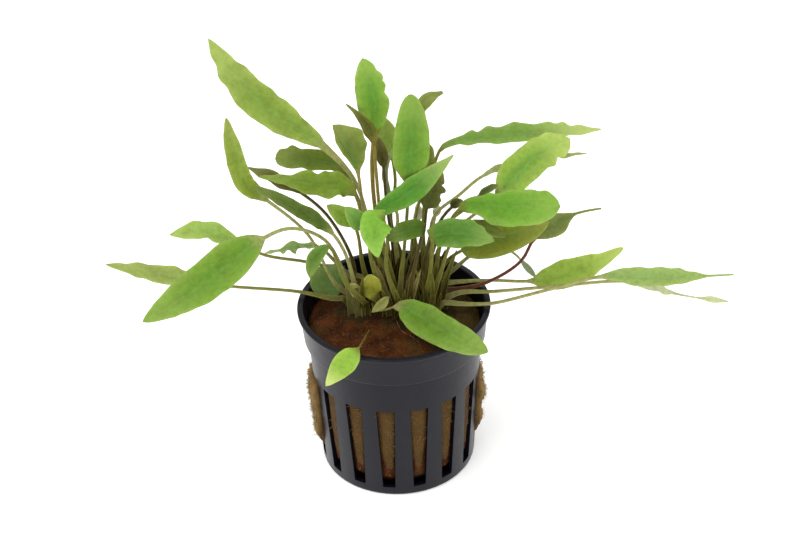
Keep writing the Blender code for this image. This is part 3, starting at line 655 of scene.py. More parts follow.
FAR_CROWN = {
    "leaf_back_green": leaf(
        [(0, 14, 67), (1.5, 17, 77)],
        [(1, 19, 82.5), (0, 22, 87), (-1, 26, 92)],
        6.0, "vivid"),
    "leaf_back_thin_tip": leaf(
        [(6.5, 9, 70), (9, 10, 80)],
        [(9.8, 10.5, 86), (8.5, 12, 95.5), (9.5, 13.5, 102.5), (14.5, 15, 104.5)],
        5.0, "olive",
        outline=((0, 0.7), (0.15, 0.8), (0.3, 0.35), (0.62, 0.3), (0.76, 0.65), (0.86, 0.5),
                 (0.93, 0.25), (1, 0.1))),
    "leaf_right_long": leaf(
        [(9, 13, 72), (12, 14, 84)],
        [(14.5, 15, 88.5), (31, 20, 88.5), (57.5, 26, 86)],
        6.4, "vivid", face=MOSTLY_UP,
        outline=((0, 0.15), (0.1, 0.4), (0.25, 0.8), (0.45, 1), (0.65, 0.95), (0.82, 0.6),
                 (0.93, 0.3), (1, 0))),
    "leaf_right_broad_back": leaf(
        [(13, 9.5, 61), (23, 8.5, 72)],
        [(29, 9, 77.3), (36.5, 13, 83.6), (48.2, 19, 87.4)],
        9.6, "light", face=FRONT_AND_UP,
        outline=((0, 0.35), (0.15, 0.85), (0.35, 1), (0.7, 0.98), (0.88, 0.7), (1, 0))),
    "leaf_right_edge_on": leaf(
        [(11.5, 13, 68), (18.5, 15, 73.5)],
        [(25, 17, 78), (38, 23, 79), (54, 28, 77.5)],
        4.5, "olive", face=STRAIGHT_UP),
    "leaf_low_right_near": leaf(
        [(14.5, 7, 50.5), (25.5, 7, 51)],
        [(38, 6, 51), (50, 5, 54.5), (61.5, 4, 62)],
        8.0, "light", face=FRONT_AND_UP,
        outline=((0, 0.15), (0.12, 0.7), (0.3, 1), (0.55, 0.9), (0.75, 0.5), (0.9, 0.28),
                 (1, 0.05))),
    "leaf_thin_withered": leaf(
        [(15.5, 10, 52), (22, 10.5, 57.5), (28, 10.5, 60), (33, 10, 57.5)],
        [(35, 10, 55), (37, 9.5, 52.5), (39, 9, 50)],
        1.8, "light"),
    "leaf_back_pale_left": leaf(
        [(5.5, 14, 57)],
        [(6.5, 15, 65.5), (7.5, 15, 68), (7, 15, 71)],
        2.6, "light", fullness=0.6),
    "leaf_back_pale_right": leaf(
        [(10, 15.5, 57.5)],
        [(12, 16, 66.5), (12.5, 16, 68.3), (12, 16, 70.3)],
        2.4, "light", fullness=0.6),
}

CROWNS = {
    "crown_left": ((-9.0, 2.0), LEFT_CROWN),
    "crown_back": ((-1.0, 8.5), BACK_CROWN),
    "crown_front": ((1.0, -1.0), FRONT_CROWN),
    "crown_right": ((10.5, 1.5), RIGHT_CROWN),
    "crown_far": ((8.7, 11.0), FAR_CROWN),
}

# The small leaf that hangs over the rim comes straight out of the wool, half a millimetre from
# where its solid is
RUNNER_FOOT = (-6.3, -9.0)
RUNNER_LEAF = leaf(
    [(-8.2, -17, 49.6)],
    [(-9.8, -26.6, 53.6), (-13.3, -28, 50.3), (-17.9, -28.6, 44.3)],
    6.0, "yellow", face=(-0.1, -0.83, 0.5),
    outline=((0, 0.35), (0.12, 0.8), (0.3, 1), (0.55, 0.84), (0.8, 0.45), (1, 0)))

# %% Smooth routes
WOOL_TOP = 45.2
GAP = 0.3
CROWN_RISE = 1.5
CROWN_TOP = WOOL_TOP + GAP + CROWN_RISE
ROOT_RING = 3.35
STALK_RISE = 2.2
STALK_RISE_LEAN = 0.12
ROUTE_STEPS = 24


def root_places(centre, leaves):
    """The tallest leaf's root in the crown's middle, the rest in a ring in the order they lean."""
    middle = Vector((centre[0], centre[1], CROWN_TOP + GAP))
    lean = {name: Vector(data["blade"][0]) - middle for name, data in leaves.items()}
    tallest = max(lean, key=lambda name: lean[name].z)
    order = sorted((name for name in lean if name != tallest),
                   key=lambda name: math.atan2(lean[name].y, lean[name].x))
    step = FULL_TURN / len(order)
    misfits = [math.atan2(lean[name].y, lean[name].x) - k * step for k, name in enumerate(order)]
    turn = math.atan2(sum(math.sin(m) for m in misfits), sum(math.cos(m) for m in misfits))
    places = {tallest: middle}
    for k, name in enumerate(order):
        angle = turn + k * step
        places[name] = middle + Vector((math.cos(angle), math.sin(angle), 0)) * ROOT_RING
    return places


def smooth_route(points):
    """A smooth curve through points, ROUTE_STEPS short pieces to a span."""
    knots = [0.0]
    for a, b in zip(points, points[1:]):
        knots.append(knots[-1] + math.sqrt((b - a).length))
    slopes = []
    for i in range(1, len(points) - 1):
        before = knots[i] - knots[i - 1]
        after = knots[i + 1] - knots[i]
        rise = (points[i] - points[i - 1]) / before * after
        rise += (points[i + 1] - points[i]) / after * before
        slopes.append(rise / (before + after))
    first = (points[1] - points[0]) / (knots[1] - knots[0]) * 1.5 - slopes[0] * 0.5
    last = (points[-1] - points[-2]) / (knots[-1] - knots[-2]) * 1.5 - slopes[-1] * 0.5
    slopes = [first] + slopes + [last]
    route = []
    for i in range(len(points) - 1):
        span = knots[i + 1] - knots[i]
        for k in range(ROUTE_STEPS):
            s = k / ROUTE_STEPS
            route.append((2 * s ** 3 - 3 * s ** 2 + 1) * points[i]
                         + (s ** 3 - 2 * s ** 2 + s) * span * slopes[i]
                         + (3 * s ** 2 - 2 * s ** 3) * points[i + 1]
                         + (s ** 3 - s ** 2) * span * slopes[i + 1])
    route.append(points[-1])
    return route


def share_out(route, spacing, fewest):
    """Points at equal distances along a route, about spacing apart."""
    lengths = [0.0]
    for a, b in zip(route, route[1:]):
        lengths.append(lengths[-1] + (b - a).length)
    count = max(fewest, round(lengths[-1] / spacing))
    points = []
    i = 0
    for k in range(count + 1):
        target = lengths[-1] * k / count
        while i < len(route) - 2 and lengths[i + 1] < target:
            i += 1
        share = (target - lengths[i]) / max(lengths[i + 1] - lengths[i], 1e-9)
        points.append(route[i].lerp(route[i + 1], min(share, 1.0)))
    return points


def grow(bm, rings):
    """A closed skin through rings of points: the first is filled, then extruded to each next."""
    face = bm.faces.new([bm.verts.new(point) for point in rings[0]])
    levels = [list(face.verts)]
    for ring in rings[1:]:
        made = bmesh.ops.extrude_face_region(bm, geom=[face])["geom"]
        if len(levels) > 1:
            bmesh.ops.delete(bm, geom=[face], context="FACES_ONLY")
        face = next(item for item in made if isinstance(item, bmesh.types.BMFace))
        for vert, point in zip(face.verts, ring):
            vert.co = point
        levels.append(list(face.verts))
    return levels


# %% [markdown]
# ## Cross-sections
#
# One skin covers stalk and blade. Its section is a round stalk at the foot, with a clasping
# sheath, and it flattens past the neck into a blade 0.3 mm thick with a keel under its midrib. The
# blade folds up a little from the midrib. Its margins ruffle, each side by itself and never in
# step, and its outline wavers: even waves and dead-straight edges are what make a modelled leaf
# look cut from paper.

# %% Leaf section sizes
SHEATH_LENGTH = 22.0
SHEATH_WING = 0.55
SHEATH_CURL = 0.6
FOOT_LENGTH = 21.0
BLADE_HALF_THICKNESS = 0.15
TIP_HALF_WIDTH = 0.1
TIP_BLUNTNESS = 1.8
KEEL_DEPTH = 0.32
KEEL_WIDTH = 0.5
GROOVE_DEPTH = 0.16
QUILT_HEIGHT = 0.06
STALK_SPACING = 1.8
BLADE_SPACING = 0.7
ACROSS = (0.0, 0.08, 0.2, 0.36, 0.54, 0.7, 0.84, 0.94, 1.0)
COLUMNS = [-a for a in reversed(ACROSS)] + list(ACROSS[1:])
WAVER_LENGTH = 3.2
DRIFT_LENGTH = 9.0
FEWEST_STALK_STEPS = 4
FEWEST_BLADE_STEPS = 8
STALK_WIDENING = 6
SHEATH_THINNING = 0.15
SHEATH_KEEL = 0.3
NECK_HALF_THICKNESS = 0.5
GROOVE_WIDTH = 0.5
STALK_FLATNESS = 1.2
STALK_GROOVE_POWER = 1.5
SHEATH_CURL_POWER = 2.5
FOOT_STEEPNESS = 1.3
KEEL_FADE = 0.7

# How fast the neck narrows and the blade thins along it, and the ruffle grows as it widens
NARROWING = 1.6
THINNING = 8.0
RUFFLE_ONSET = 1.3

# What a ruffled margin is made of, and the quilting between the veins
WANDER_SCALE = 1.6
PHASE_BETWEEN_SIDES = 2.1
PHASE_DRIFT = 3.4
STRENGTH_DRIFT = 0.6
SHORT_WAVES = 0.7
SHORT_WAVE_LENGTH = 0.45
OUTLINE_NOISE = 1.3
OUTLINE_WAVES = 0.5
RUFFLE_POWER = 2.2
QUILT_ROWS = 2.5
QUILT_ALONG = 0.9


def between(start, end, share):
    """The value a share of the way from start to end, and never past either."""
    return start + (end - start) * min(max(share, 0.0), 1.0)


def soft(share):
    share = min(max(share, 0.0), 1.0)
    return share * share * (3.0 - 2.0 * share)


def wander(distance, length, seed, hand=0.0):
    """Smooth random values from about -1 to 1 along a leaf, changing over that length."""
    return WANDER_SCALE * noise.noise(Vector((distance / length, seed * 7.31 + 0.5, hand * 5.17 + 0.5)))


# %% Leaf sections


def outline_slopes(drawn):
    """The slope at each drawn point, level at the widest one and steep at a blunt tip."""
    steps = [(b[1] - a[1]) / (b[0] - a[0]) for a, b in zip(drawn, drawn[1:])]
    slopes = [FOOT_STEEPNESS * steps[0]]
    for before, after in zip(steps, steps[1:]):
        slopes.append(2.0 * before * after / (before + after) if before * after > 0 else 0.0)
    return slopes + [TIP_BLUNTNESS * steps[-1]]


def blade_outline(share, data):
    """How wide the blade is at a share of its length, as a share of its greatest width."""
    drawn = data["outline"]
    if not drawn:
        return max(math.sin(math.pi * min(share, 1.0) ** data["belly"]), 0.0) ** data["fullness"]
    slopes = outline_slopes(drawn)
    for i, ((low, first), (high, second)) in enumerate(zip(drawn, drawn[1:])):
        if share <= high:
            span = high - low
            s = (share - low) / span
            curve = (s ** 3 - 2 * s ** 2 + s) * slopes[i] + (s ** 3 - s ** 2) * slopes[i + 1]
            return max(first + (second - first) * soft(s) + curve * span, 0.0)
    return drawn[-1][1]


def section(centre, side, over, shape):
    """The points round one cross-section, from its right edge over the top and back below."""
    top = []
    under = []
    for a in COLUMNS:
        x = a * shape["half_widths"][a > 0]
        round_off = math.sqrt(max(1.0 - a * a, 0.0))
        keel = shape["keel"] * math.exp(-(x / KEEL_WIDTH) ** 2)
        spot = centre + side * x + over * shape["lift"](a, x)
        top.append(spot + over * shape["half_thickness"] * round_off)
        under.append(spot - over * (shape["half_thickness"] + keel) * round_off)
    return top + under[-2:0:-1]


def section_values():
    """For each point of a section: how far across it is, and 1 where it is on the underside."""
    values = [(a, 0.0) for a in COLUMNS]
    return values + [(a, 1.0) for a in COLUMNS[-2:0:-1]]


def leaf_centres(root, data):
    points = [Vector(p) for p in data["stem"] + data["blade"]]
    lean = (points[0] - root) * STALK_RISE_LEAN
    sunk = root - Vector((0, 0, data["sunk"]))
    points = [sunk, root + Vector((lean.x, lean.y, STALK_RISE))] + points
    route = smooth_route(points)
    neck = (len(data["stem"]) + 2) * ROUTE_STEPS
    stalk = share_out(route[:neck + 1], STALK_SPACING, FEWEST_STALK_STEPS)
    blade = share_out(route[neck:], BLADE_SPACING, FEWEST_BLADE_STEPS)
    return stalk, blade


# %% Stalk and blade


def stalk_shape(share, distance, data):
    """A section of the stalk: flat and clasping at the foot, then round."""
    sheath = (1.0 - soft(distance / SHEATH_LENGTH)) * data["sheath"]
    foot, neck = data["stalk_radii"]
    widening = share ** STALK_WIDENING
    radius = between(foot, neck, widening)

    def lift(a, x):
        groove = data["stalk_groove"] * (abs(a) ** STALK_GROOVE_POWER - 0.5) * widening
        return groove + SHEATH_CURL * sheath * abs(a) ** SHEATH_CURL_POWER

    half_thickness = between(foot, min(neck, STALK_FLATNESS * foot), widening)
    return {
        "half_widths": (radius + SHEATH_WING * sheath,) * 2,
        "half_thickness": half_thickness - SHEATH_THINNING * sheath,
        "keel": SHEATH_KEEL * sheath,
        "lift": lift,
    }


def blade_shape(share, distance, data, seed):
    """A section of the blade, with ruffled margins and a wavering outline."""
    outline = blade_outline(share, data)
    neck = data["stalk_radii"][1]
    narrow = between(neck, TIP_HALF_WIDTH, share * NARROWING)
    length = data["ruffle_length"]
    envelope = soft(outline * RUFFLE_ONSET)
    thin = soft(share * THINNING)
    half_widths = []
    ruffles = []
    for hand in (0, 1):
        phase = FULL_TURN * distance / length + seed + PHASE_BETWEEN_SIDES * hand
        phase += PHASE_DRIFT * wander(distance, DRIFT_LENGTH, seed, hand)
        strength = 1.0 + STRENGTH_DRIFT * wander(distance, DRIFT_LENGTH, seed + 0.37, hand)
        short = SHORT_WAVES * wander(distance, SHORT_WAVE_LENGTH * length, seed, hand)
        ruffles.append(strength * (math.sin(phase) + short))
        nick = sum(depth * math.exp(-((share - at) / wide) ** 2)
                   for which, at, depth, wide in data["nicks"] if which == hand)
        waver = OUTLINE_NOISE * wander(distance, WAVER_LENGTH, seed, hand + 3)
        waver += OUTLINE_WAVES * math.sin(phase + 1.0)
        factor = 1.0 - nick + data["waver"] * waver
        half_width = data["width"] / 2.0 * data["sides"][hand]
        half_widths.append(narrow + max(half_width - narrow, 0.0) * outline * factor)

    def lift(a, x):
        fold_up = data["fold"] * abs(x)
        groove = -GROOVE_DEPTH * math.exp(-(x / GROOVE_WIDTH) ** 2)
        quilt = QUILT_HEIGHT * math.sin(FULL_TURN * abs(a) * QUILT_ROWS + distance * QUILT_ALONG)
        ruffle = data["ruffle"] * ruffles[a > 0] * abs(a) ** RUFFLE_POWER
        return envelope * (fold_up + groove + quilt + ruffle)

    return {
        "half_widths": half_widths,
        "half_thickness": between(min(neck, NECK_HALF_THICKNESS), BLADE_HALF_THICKNESS, thin),
        "keel": KEEL_DEPTH * (1.0 - share) ** KEEL_FADE * thin,
        "lift": lift,
    }


def leaf_sections(root, data, seed):
    """Every cross-section of a leaf as (points, share along, distance from the root); the share
    is below 0 on the stalk."""
    stalk, blade = leaf_centres(root, data)
    centres = stalk[:-1] + blade
    face = Vector(data["face"])
    sections = []
    distance = 0.0
    for i, centre in enumerate(centres):
        along = centres[min(i + 1, len(centres) - 1)] - centres[max(i - 1, 0)]
        if i:
            distance += (centre - centres[i - 1]).length
        else:
            along = Vector((0, 0, 1))
        side = along.cross(face).normalized()
        over = side.cross(along).normalized()
        if i < len(stalk) - 1:
            share = i / (len(stalk) - 1)
            shape = stalk_shape(share, distance, data)
            sections.append((section(centre, side, over, shape), share - 1.0, distance))
            continue
        share = (i - len(stalk) + 1) / (len(blade) - 1)
        turned = math.radians(data["twist"]) * soft(share)
        side, over = (side * math.cos(turned) + over * math.sin(turned),
                      over * math.cos(turned) - side * math.sin(turned))
        shape = blade_shape(share, distance, data, seed)
        sections.append((section(centre, side, over, shape), share, distance))
    return sections


# %% [markdown]
# ## What makes each leaf itself
#
# No two blades are alike. The defaults give an ordinary one, and this table holds what differs:
# its own colour, the tone of its stalk, the stalk's radii at foot and neck, how deep a groove runs
# down the stalk, how much of a sheath clasps the foot, how far the foot is sunk in the rootstock,
# how dark the heart along its midrib is, how pale its edge and its tip are, how far its margins
# ruffle and over what length, how much its outline wavers, a twist along it in degrees, how wide
# each side is, and bites out of an edge: which side, where along, how deep, how wide. A bite with a
# negative depth is a bulge.
#
# Five blades are moved from their solids, to agree better with the photograph: three by about 2 mm
# at most and two by about 7 mm at most. They have a table of their own, because a leaf's root is
# placed from the points of its solid.

# %% Leaf habits
ORDINARY = {
    "ruffle": 0.3,
    "ruffle_length": 7.5,
    "waver": 0.035,
    "twist": 0.0,
    "sides": (1.0, 1.0),
    "nicks": (),
    "pale_tip": 0.12,
    "withered": 0.0,
    "heart": 0.5,
    "pale_edge": 0.5,
    "stalk": "green",
    "stalk_radii": (0.45, 0.42),
    "stalk_groove": 0.0,
    "sheath": 1.0,
    "sunk": 2.2,
}
HABITS = {
    "leaf_tall_left_lance": dict(own="#7f9638", stalk="pale", stalk_radii=(0.45, 1.15),
        stalk_groove=0.9, pale_tip=0.25, ruffle=0.9, ruffle_length=8.0, waver=0.085, twist=12),
    "leaf_left_strap": dict(own="#819430", stalk="pale", stalk_radii=(0.4, 0.5), heart=0.3,
        ruffle=0.35, waver=0.03),
    "leaf_left_narrow": dict(own="#52661a", stalk="pale", pale_edge=0.2, ruffle=0.6,
        ruffle_length=6.0, waver=0.11),
    "leaf_left_brown_edge": dict(own="#57561c", stalk="dark", ruffle=0.45),
    "leaf_left_inner_yellow": dict(own="#84a234"),
    "leaf_low_left_oval": dict(own="#668a1c", stalk="pale", stalk_radii=(0.45, 0.55), heart=0.6,
        ruffle=0.25, ruffle_length=10.0, waver=0.015),
    "leaf_low_left_narrow": dict(own="#8c9b4b", heart=0.3, ruffle=0.4),
    "leaf_left_wavy": dict(own="#7f9450", ruffle=0.8, ruffle_length=5.0, waver=0.06),
    "leaf_left_drooping": dict(own="#5d7b28"),
    "leaf_inner_small_yellow": dict(own="#d2cf7c", heart=0.1),
    "leaf_front_right": dict(own="#628520", stalk="pink", stalk_radii=(0.3, 0.3), sheath=0.0,
        heart=0.5, pale_edge=0.35, ruffle=0.15, waver=0.012, sides=(0.95, 1.08)),
    "leaf_left_small_oval": dict(own="#5d7010", stalk_radii=(0.45, 0.7), heart=0.5, pale_edge=0.25,
        ruffle=0.5, waver=0.08),
    "leaf_left_level": dict(own="#68801b", pale_edge=0.3, ruffle=0.7, ruffle_length=6.0,
        waver=0.09),
    "leaf_top_centre": dict(own="#769e31", stalk="ochre", stalk_radii=(0.55, 0.78), heart=1.0,
        waver=0.02, sides=(1.0, 0.88),
        nicks=((1, 0.5, 0.2, 0.05), (1, 0.64, 0.15, 0.03), (1, 0.8, 0.18, 0.04),
               (0, 0.7, 0.08, 0.04))),
    "leaf_top_reddish": dict(own="#686422", stalk="ochre", heart=0.8, pale_edge=0.1, waver=0.06),
    "leaf_top_olive": dict(own="#707f2e", stalk="tan", heart=0.9, pale_edge=0.3, ruffle=0.4,
        waver=0.05, sides=(0.35, 1.45)),
    "leaf_inner_brown": dict(own="#5c5420", stalk="dark", pale_edge=0.1, waver=0.1),
    "leaf_low_left_back": dict(own="#8da84a", heart=0.25, nicks=((0, 0.4, 0.35, 0.06),)),
    "leaf_in_pot_broad": dict(own="#58722c", stalk="dark", pale_edge=0.2),
    "leaf_back_grey_twist": dict(own="#9aa078", stalk="pale", ruffle=0.3, ruffle_length=4.0),
    "leaf_left_inner_blue": dict(own="#6c9638"),
    "leaf_front_hanging": dict(own="#75a632", heart=0.2, ruffle=0.2, waver=0.012,
        sides=(0.95, 1.2)),
    "leaf_inner_round_yellow": dict(own="#a3a038", heart=0.2, pale_tip=0.1),
    "leaf_sliver": dict(own="#8f8c4a", stalk="dark", stalk_radii=(0.2, 0.25), sheath=0.0),
    "leaf_centre_vivid": dict(own="#4f8420", heart=0.6, pale_tip=0.35, ruffle=0.25),
    "leaf_tall_centre": dict(own="#6c9428", heart=0.9, ruffle=0.3, waver=0.015),
    "leaf_centre_dark": dict(own="#46620a", stalk="dark", pale_edge=0.2),
    "leaf_centre_brown": dict(own="#5c5f22", stalk="dark", pale_edge=0.15, ruffle=0.7, waver=0.05,
        nicks=((1, 0.42, 0.4, 0.05), (1, 0.68, 0.45, 0.06), (0, 0.5, 0.25, 0.05))),
    "leaf_right_bluish": dict(own="#4d781c", heart=0.6, pale_tip=0.15, ruffle=0.5, waver=0.05,
        nicks=((0, 0.86, 0.35, 0.03), (0, 0.7, 0.12, 0.04), (1, 0.9, 0.2, 0.03))),
    "leaf_right_olive_tip": dict(own="#606c17"),
    "leaf_right_broad": dict(own="#609014", heart=0.6, ruffle=0.35, sides=(0.9, 1.1),
        nicks=((1, 0.36, -0.35, 0.13),)),
    "leaf_low_right_far": dict(own="#8aa255", stalk="pale", heart=0.3),
    "leaf_low_right_withered": dict(own="#c2c69a", stalk="pale", heart=0.1),
    "leaf_right_curled": dict(own="#727c3a", stalk="red", ruffle=0.4),
    "leaf_curled_bud": dict(own="#4a4a18", stalk="dark"),
    "leaf_right_olive": dict(own="#868e2a", heart=0.9, ruffle=0.35),
    "leaf_right_thin_bud": dict(own="#4e571c"),
    "leaf_back_green": dict(own="#8ca040"),
    "leaf_back_thin_tip": dict(own="#667024", sides=(1.0, 1.2)),
    "leaf_right_long": dict(own="#6f8f38", heart=0.4, pale_tip=0.5, ruffle=0.5, ruffle_length=7.0,
        waver=0.05),
    "leaf_right_broad_back": dict(own="#84a236", stalk="pale", heart=1.0, pale_tip=0.3,
        ruffle=0.35, waver=0.04,
        nicks=((1, 0.74, 0.3, 0.04), (1, 0.6, 0.08, 0.05), (0, 0.88, 0.1, 0.04))),
    "leaf_right_edge_on": dict(own="#a5ac70", stalk="pale", heart=0.1, ruffle=0.4),
    "leaf_low_right_near": dict(own="#92ac40", stalk="pale", heart=0.3, pale_tip=0.3),
    "leaf_thin_withered": dict(own="#8d9a78", stalk="pale", stalk_radii=(0.35, 0.3), heart=0.1),
    "leaf_back_pale_left": dict(own="#c8cfae", stalk="pale", heart=0.1),
    "leaf_back_pale_right": dict(own="#c8cfae", stalk="pale", heart=0.1),
    "leaf_over_rim": dict(own="#86aa38", stalk_radii=(0.22, 0.25), sheath=0.0, sunk=0.3,
        heart=0.15, pale_edge=0.8, pale_tip=0.65, ruffle=0.15, waver=0.012),
}
MOVED_BLADES = {
    "leaf_inner_small_yellow": [(-9.0, -0.5, 51.8), (-10.0, -1.2, 54.8), (-11.1, -2, 57.7)],
    "leaf_top_olive": [(-8.3, 7, 87), (-11.1, 7, 93.8), (-13.9, 7, 100.4)],
    "leaf_front_hanging": [(-2.3, -6, 79.8), (-3.9, -9.8, 78.2), (-3.4, -15.5, 74.3)],
    "leaf_inner_round_yellow": [(-5.2, -2, 53.4), (-5.7, -2.8, 57.2), (-6.1, -3, 60.8)],
    "leaf_sliver": [(-1.2, -5.2, 54.9), (-3.2, -6, 53.2), (-5.9, -6.2, 51.0)],
}


def habit(name, data):
    """A leaf's table entry with its habits, ordinary ones where it has none, and its own blade."""
    full = dict(ORDINARY, **data)
    full.update(HABITS[name])
    full["blade"] = MOVED_BLADES.get(name, data["blade"])
    return full


# %% [markdown]
# ## Leaf skin
#
# A cryptocoryne leaf is thin, soft and slightly glossy. Its colour is never even: greener and
# darker in ragged patches along the midrib, paler at the margin and the tip, and mottled over a
# millimetre or two. Values are kept at each point of the mesh, so that the pattern follows the
# leaf: how far across the blade the point is, how far along, how near the foot, and whether it is
# underneath. Lines of equal across-value are just the arching veins of the real leaf, which run
# from base to tip beside the midrib. The leaf's own colour, its stalk's colour and the strength of
# its heart, pale edge and pale tip are kept there too, so that one skin serves them all. The blade
# lets some light through, so a little of it scatters under the skin.

# %% Leaf colours
STALKS = {
    "green": "#74742f",
    "pale": "#9c9c60",
    "tan": "#9a8c52",
    "ochre": "#8c7a30",
    "red": "#6d3a30",
    "pink": "#8c8452",
    # dark is painted shade: the olive of a stalk as it looks in shade at the crowded centre
    "dark": "#4c4216",
}
# The brown of a stalk's foot, darkened further as painted shade down among the crowded stalks
STALK_FOOT_BROWN_AND_SHADE = "#40370f"
# A painted highlight along both sides of every stalk
STALK_EDGE_HIGHLIGHT = "#a39c58"
HEART_TINT = "#c4e2dc"
DARK_TINT = "#a3a878"
LIGHT_TINT = "#d2dc86"
SPECK_TINT = "#c9cfa6"
VEIN_COUNT = 3.0
BLOTCH = 8.0 * MM
MOTTLE = 3.2 * MM
SPECK = 1.1 * MM
PORES = 0.45 * MM
CRINKLE = 1.6 * MM
CRINKLE_DEPTH = 0.16 * MM
VEIN_DEPTH = 0.05 * MM
SCATTER_REACH = 0.5 * MM
LEAF_VALUES = ("across", "along", "under", "foot", "heart", "pale_edge", "pale_tip")
LEAF_COLOURS = ("own", "stalk_colour")


# %% Leaf patterns


def leaf_patterns(tree, side):
    """How ragged the heart's edge is at a point, and where the blade is dim, specked or veined."""
    mottle = lumps(tree, MOTTLE, 4.0)
    blotch = lumps(tree, BLOTCH, 3.0)
    ragged = add(tree, "Math", {0: side, 1: 0.85}, operation="SUBTRACT")
    shade = 0.0
    for pattern, ragged_share, dim_share in ((mottle, 0.9, 0.6), (blotch, 0.8, 0.4)):
        ragged = add(tree, "Math", {0: pattern, 1: ragged_share, 2: ragged}, **TIMES_AND_ADD)
        shade = add(tree, "Math", {0: pattern, 1: dim_share, 2: shade}, **TIMES_AND_ADD)
    turns = add(tree, "Math", {0: side, 1: VEIN_COUNT * FULL_TURN}, **TIMES)
    wave = add(tree, "Math", {0: turns}, operation="SINE")
    return {
        "mottle": mottle,
        "ragged": ragged,
        "dim": add(tree, "MapRange", {0: shade, 1: 0.45, 2: 0.66}, **SOFT_STEP),
        "speck": add(tree, "MapRange", {0: lumps(tree, SPECK, 4.0), 1: 0.4, 2: 0.7}, **SOFT_STEP),
        "vein": add(tree, "MapRange", {0: wave, 1: 0.75, 2: 1.0}, **SOFT_STEP),
    }


def leaf_places(tree, side, ragged, along):
    """How far a point is in the heart, at the edge, at the tip, in the blade and so on.

    Each is a soft step, or two that are multiplied where both have to hold.
    """
    steps = {
        "heart": ({0: ragged, 1: 0.0, 2: 0.75, **DOWN}, {0: along, 1: 0.5, 2: 0.95, **DOWN}),
        "edge": ({0: ragged, 1: 0.62, 2: 1.1},),
        # Tables give lengths in millimetres and the scene is in metres, so a mesh that is drawn from
        # them is scaled once, here. The wool and its fibres are in metres already, because they start
        # from the wool's solid. The finished object sits at the origin with its place in its mesh, it
        # rides on the plant's one body, it hides the solid it stands for, if any, and it takes its
        # material.
        "tip": ({0: along, 1: 0.45, 2: 1.0},),
        "blade": ({0: along, 1: -0.08, 2: 0.1},),
        "midrib": ({0: side, 1: 0.01, 2: 0.06, **DOWN},),
        # A painted highlight along the sides of a stalk
        "stalk_edge_highlight": ({0: side, 1: 0.68, 2: 0.95}, {0: along, 1: -0.1, 2: 0.0, **DOWN}),
    }
    places = {}
    for name, inputs in steps.items():
        places[name] = add(tree, "MapRange", inputs[0], **SOFT_STEP)
        for more in inputs[1:]:
            other = add(tree, "MapRange", more, **SOFT_STEP)
            places[name] = add(tree, "Math", {0: places[name], 1: other}, **TIMES)
    return places


# %% Leaf skin material


def leaf_material():
    material, tree, shader = new_material("cryptocoryne_leaf_skin", 1.4)
    kept = {name: add(tree, "Attribute", {}, "Fac", attribute_name=name) for name in LEAF_VALUES}
    own, stalk = [add(tree, "Attribute", {}, "Color", attribute_name=name) for name in LEAF_COLOURS]
    side = add(tree, "Math", {0: kept["across"]}, operation="ABSOLUTE")
    seen = leaf_patterns(tree, side)
    seen.update(leaf_places(tree, side, seen["ragged"], kept["along"]))
    shares = {
        "heart": (seen["heart"], kept["heart"]),
        "edge": (seen["edge"], kept["pale_edge"]),
        "dim": (seen["dim"], 0.35),
        "speck": (seen["speck"], 0.4),
        "vein": (seen["vein"], 0.07),
        "midrib": (seen["midrib"], 0.14),
        "tip": (seen["tip"], kept["pale_tip"]),
        "under": (kept["under"], 0.2),
        "stalk_speck": (seen["speck"], 0.7),
        # foot: the stalks' own brown at their base, with painted shade among them
        "foot": (kept["foot"], 0.75),
        # rim: the painted highlight along a stalk's sides
        "rim": (seen["stalk_edge_highlight"], 0.4),
        "pores": (lumps(tree, PORES, 3.0), 0.5),
    }
    share = {name: add(tree, "Math", {0: a, 1: b}, **TIMES) for name, (a, b) in shares.items()}
    line = add(tree, "Math", {0: share["vein"], 1: share["midrib"]}, operation="MAXIMUM")
    pale = layered(tree, own, [(0.3, linear(LIGHT_TINT), BLEND)])
    blade = layered(tree, own, [
        (share["heart"], linear(HEART_TINT), TINT),
        (share["edge"], pale, BLEND),
        (share["dim"], linear(DARK_TINT), TINT),
        (share["speck"], linear(SPECK_TINT), TINT),
        (line, pale, BLEND),
        (share["tip"], linear(LIGHT_TINT), BLEND),
        (share["under"], pale, BLEND),
    ])
    colour = layered(tree, stalk, [
        (share["stalk_speck"], linear(SPECK_TINT), TINT),
        (seen["blade"], blade, BLEND),
        (share["foot"], linear(STALK_FOOT_BROWN_AND_SHADE), BLEND),
        (share["rim"], linear(STALK_EDGE_HIGHLIGHT), BLEND),
    ])
    crinkle = add(tree, "Bump", {"Height": lumps(tree, CRINKLE, 2.0), "Distance": CRINKLE_DEPTH})
    ridges = add(tree, "Math", {0: seen["vein"], 1: 0.5, 2: share["pores"]}, **TIMES_AND_ADD)
    feed(tree, shader, {
        "Base Color": colour,
        "Roughness": add(tree, "MapRange", {0: seen["mottle"], 3: 0.4, 4: 0.6}),
        "Specular IOR Level": 0.3,
        "Subsurface Weight": 0.06,
        "Subsurface Scale": SCATTER_REACH,
        "Subsurface Radius": (0.7, 1.0, 0.3),
        "Normal": add(tree, "Bump", {"Height": ridges, "Distance": VEIN_DEPTH, "Normal": crinkle}),
    })
    return material


# %% [markdown]
# ## Growing the leaves
#
# Each leaf is one closed skin. Its first section is filled, and that face is pulled along the
# route section by section, as the plant itself would grow.

# %% Grow every leaf


def leaf_layers(bm):
    layers = {kind: bm.verts.layers.float.new(kind) for kind in LEAF_VALUES}
    layers.update({kind: bm.verts.layers.float_color.new(kind) for kind in LEAF_COLOURS})
    return layers


